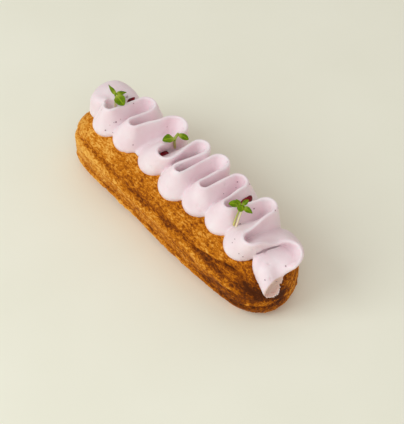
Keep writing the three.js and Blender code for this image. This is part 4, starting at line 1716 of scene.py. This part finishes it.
SPRIGS = (
    Sprig(
        "sprig_1", 0.8, (-48.9, 2.5, 44.8),
        stems=(
            ((-46.9, 0.2, 36.6), (-47.7, 1.0, 41.0), (-48.9, 2.5, 44.8)),
            ((-48.9, 2.5, 44.8), (-48.4, 2.5, 44.9), (-47.8, 2.4, 44.8)),
        ),
        leaves=(
            Leaf((-48.9, 2.5, 44.8), (-53.7, 2.2, 47.8), 2.0, (0.3, -0.5, 0.8), 0.04, 0.62, 1.0),
            Leaf((-48.9, 2.5, 44.8), (-47.1, 7.2, 44.8), 2.4, (0.3, -0.5, 0.8), 0.06, 0.62, 1.0),
            Leaf((-48.3, 2.4, 44.6), (-41.6, 1.4, 44.2), 5.2, (0.4, -0.3, 0.85), 0.1),
        ),
    ),
    Sprig(
        "sprig_2", 0.75, (-10.4, 5.1, 44.2),
        stems=(
            ((-15.4, 9.0, 31.6), (-12.6, 7.0, 36.5), (-10.4, 5.1, 44.2)),
            ((-10.4, 5.1, 44.2), (-10.4, 6.4, 45.6), (-10.6, 7.6, 46.1)),
        ),
        leaves=(
            Leaf((-10.4, 5.1, 44.4), (-12.9, 0.3, 44.7), 4.8, (-0.1, -0.3, 0.9), 0.1),
            Leaf((-10.5, 7.2, 46.0), (-6.7, 10.2, 43.6), 2.8, (0.5, -0.2, 0.8), 0.12),
        ),
        stem_radius=0.68,
        stem_finishes=(StemSkin("#C6BC66", "#98A337"),),
    ),
    Sprig(
        "sprig_3", 1.65, (39.9, 0.1, 45.4),
        stems=(
            ((38.3, -2.7, 33.6), (39.3, -2.3, 39.4), (40.2, -1.1, 45.0)),
            ((39.6, -2.5, 33.6), (40.4, -1.7, 39.4), (40.9, -0.2, 45.0)),
        ),
        leaves=(
            Leaf((38.8, 0.5, 46.2), (35.3, -2.9, 46.6), 3.2, (0.2, -0.4, 0.9), 0.08),
            Leaf((39.6, 0.5, 46.2), (37.2, -0.5, 49.0), 1.9, (0.4, -0.5, 0.8), 0.04, 1.2, 0.8),
            Leaf((39.6, 0.5, 46.2), (40.6, 3.7, 48.6), 2.2, (0.4, -0.5, 0.8), 0.04, 1.2, 0.8),
            Leaf((40.4, 1.0, 45.8), (44.8, 2.3, 44.6), 2.6, (0.5, -0.3, 0.8), 0.08, 0.8, 0.8),
        ),
        stem_finishes=(StemSkin("#CFC677", "#93A32C"), StemSkin("#F2E2C6", "#DDD4A2")),
    ),
)


# Drops of jam

@dataclass
class JamDrop:
    """A drop of jam in a valley of the cream: a slumped, slightly lumpy round."""

    node: str
    centre: Point
    radii: Point
    lump: float = 1.6
    lump_height: float = 0.7
    mesh: Counts = (40, 24)
    finish: FruitJam = field(default_factory=FruitJam)

    def build(self, place: PartFrame) -> bpy.types.Object:
        """Models the drop and dresses it.

        Args:
            place: the step to the part's frame.

        Returns:
            The finished drop.
        """
        segments, rings = self.mesh
        bpy.ops.mesh.primitive_uv_sphere_add(segments=segments, ring_count=rings, radius=1.0)
        piece = bpy.context.object
        piece.name = self.node.replace("drop", "blob")
        piece.data.name = piece.name
        set_mesh_points(piece, place.metres(mesh_points(piece) * self.radii + self.centre))
        raise_clouds(piece, "jam_lumps", self.lump, self.lump_height)
        apply_modifier(piece, "SUBSURF", levels=1, render_levels=1)
        piece.data.materials.append(self.finish.material())
        hand_in(piece, self.node)
        return piece


JAM_DROPS = (
    JamDrop("jam_drop_1", (-44.9, 8.0, 40.9), (0.9, 2.3, 0.8)),
    JamDrop("jam_drop_2", (-12.2, 0.2, 35.2), (3.2, 2.9, 2.3)),
    JamDrop("jam_drop_3", (32.5, 9.5, 37.3), (2.4, 3.6, 2.0)),
)


# Studio

@dataclass(frozen=True)
class SoftLight:
    """A square soft light that looks at the eclair: its place and size in metres, its power in watts."""

    name: str
    spot: Point
    size: float
    power: float
    colour: str

    def build(self) -> None:
        """Adds the light and turns it to the eclair.

        It looks at the middle of the floor, where the eclair lies.
        """
        bpy.ops.object.light_add(type="AREA", location=self.spot)
        lamp = bpy.context.object
        lamp.name = self.name
        lamp.data.size = self.size
        lamp.data.energy = self.power
        lamp.data.color = linear(self.colour)[:3]
        lamp.rotation_euler = (-Vector(self.spot)).to_track_quat("-Z", "Y").to_euler()


@dataclass
class Studio:
    """The plain studio: a pale floor, soft lights and the camera at the photograph's viewing angle."""

    image: tuple[int, int] = (404, 424)
    focal_pixels: float = 1530.0
    azimuth: float = 49.5
    elevation: float = 49.0
    distance: float = 690.0
    target: Point = (4.4, 0.0, 18.0)
    target_pixel: Span = (187.5, 203.0)
    sensor: float = 36.0
    nearest: float = 0.01
    floor_size: float = 6.0
    sky: str = "#FDFBF4"
    sky_strength: float = 0.555
    lights: tuple[SoftLight, ...] = (
        SoftLight("window", (-0.3, -0.95, 0.85), 0.8, 6.9, "#F2FFFF"),
        SoftLight("fill", (0.6, -0.5, 0.8), 0.8, 1.8, "#F4FFFF"),
    )
    finish: PaleBoard = field(default_factory=PaleBoard)

    def camera_axes(self) -> tuple[Vector, Vector, Vector]:
        """The way the camera looks.

        Returns:
            Its right, up and backward unit vectors.
        """
        azimuth, elevation = math.radians(self.azimuth), math.radians(self.elevation)
        level = math.cos(elevation)
        back = Vector((math.sin(azimuth) * level, -math.cos(azimuth) * level, math.sin(elevation)))
        right = Vector((math.cos(azimuth), math.sin(azimuth), 0))
        return right, back.cross(right), back

    def camera(self, place: PartFrame) -> None:
        """Sets up the camera so that its target shows at the target pixel.

        Args:
            place: the step to the part's frame.
        """
        right, up, back = self.camera_axes()
        pixel = self.distance * MM / self.focal_pixels
        across = (self.target_pixel[0] - self.image[0] / 2) * pixel
        down = (self.target_pixel[1] - self.image[1] / 2) * pixel
        away = Vector(place.metres(self.target)) + back * self.distance * MM
        spot = away - right * across + up * down
        bpy.ops.object.camera_add()
        camera = bpy.context.object
        camera.name = "camera"
        camera.data.sensor_fit = "VERTICAL"
        camera.data.sensor_height = self.sensor
        camera.data.lens = self.sensor * self.focal_pixels / self.image[1]
        camera.data.clip_start = self.nearest
        camera.matrix_world = Matrix.Translation(spot) @ Matrix((right, up, back)).transposed().to_4x4()
        bpy.context.scene.camera = camera

    def build(self, place: PartFrame) -> None:
        """Makes the floor, the sky, the lights and the camera.

        Args:
            place: the step to the part's frame.
        """
        bpy.ops.mesh.primitive_plane_add(size=self.floor_size)
        floor = bpy.context.object
        floor.name = "floor"
        floor.data.materials.append(self.finish.material())
        scene = bpy.context.scene
        scene.world = bpy.data.worlds.new("studio")
        scene.world.use_nodes = True
        sky = scene.world.node_tree.nodes["Background"].inputs
        sky["Color"].default_value = linear(self.sky)
        sky["Strength"].default_value = self.sky_strength
        scene.view_settings.view_transform = "Standard"
        for light in self.lights:
            light.build()
        self.camera(place)


def part_frame() -> PartFrame:
    """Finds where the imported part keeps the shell's middle, from the second jam drop's box.

    Returns:
        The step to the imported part's frame.
    """
    drop = JAM_DROPS[1]
    low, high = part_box(drop.node)
    middle = (np.array(low) + np.array(high)) / 2 / MM
    return PartFrame(tuple(middle - np.array(drop.centre)))


def main() -> None:
    """Builds the eclair's pieces in order, then the studio.

    Each piece is reported with its number of faces.
    """
    logging.basicConfig(level=logging.INFO, format="%(name)s: %(message)s")
    place = part_frame()
    shell = ChouxShell()
    crust = shell.build(place)
    cream = PipedCream().build(place, shell)
    specks = FruitSpecks().build(place, cream)
    toppings = [topping.build(place) for topping in (*SPRIGS, *JAM_DROPS)]
    Studio().build(place)
    for piece in (crust, cream, specks, *toppings):
        log.info("%s: %d faces", piece.name, len(piece.data.polygons))


if __name__ == "__main__":
    main()
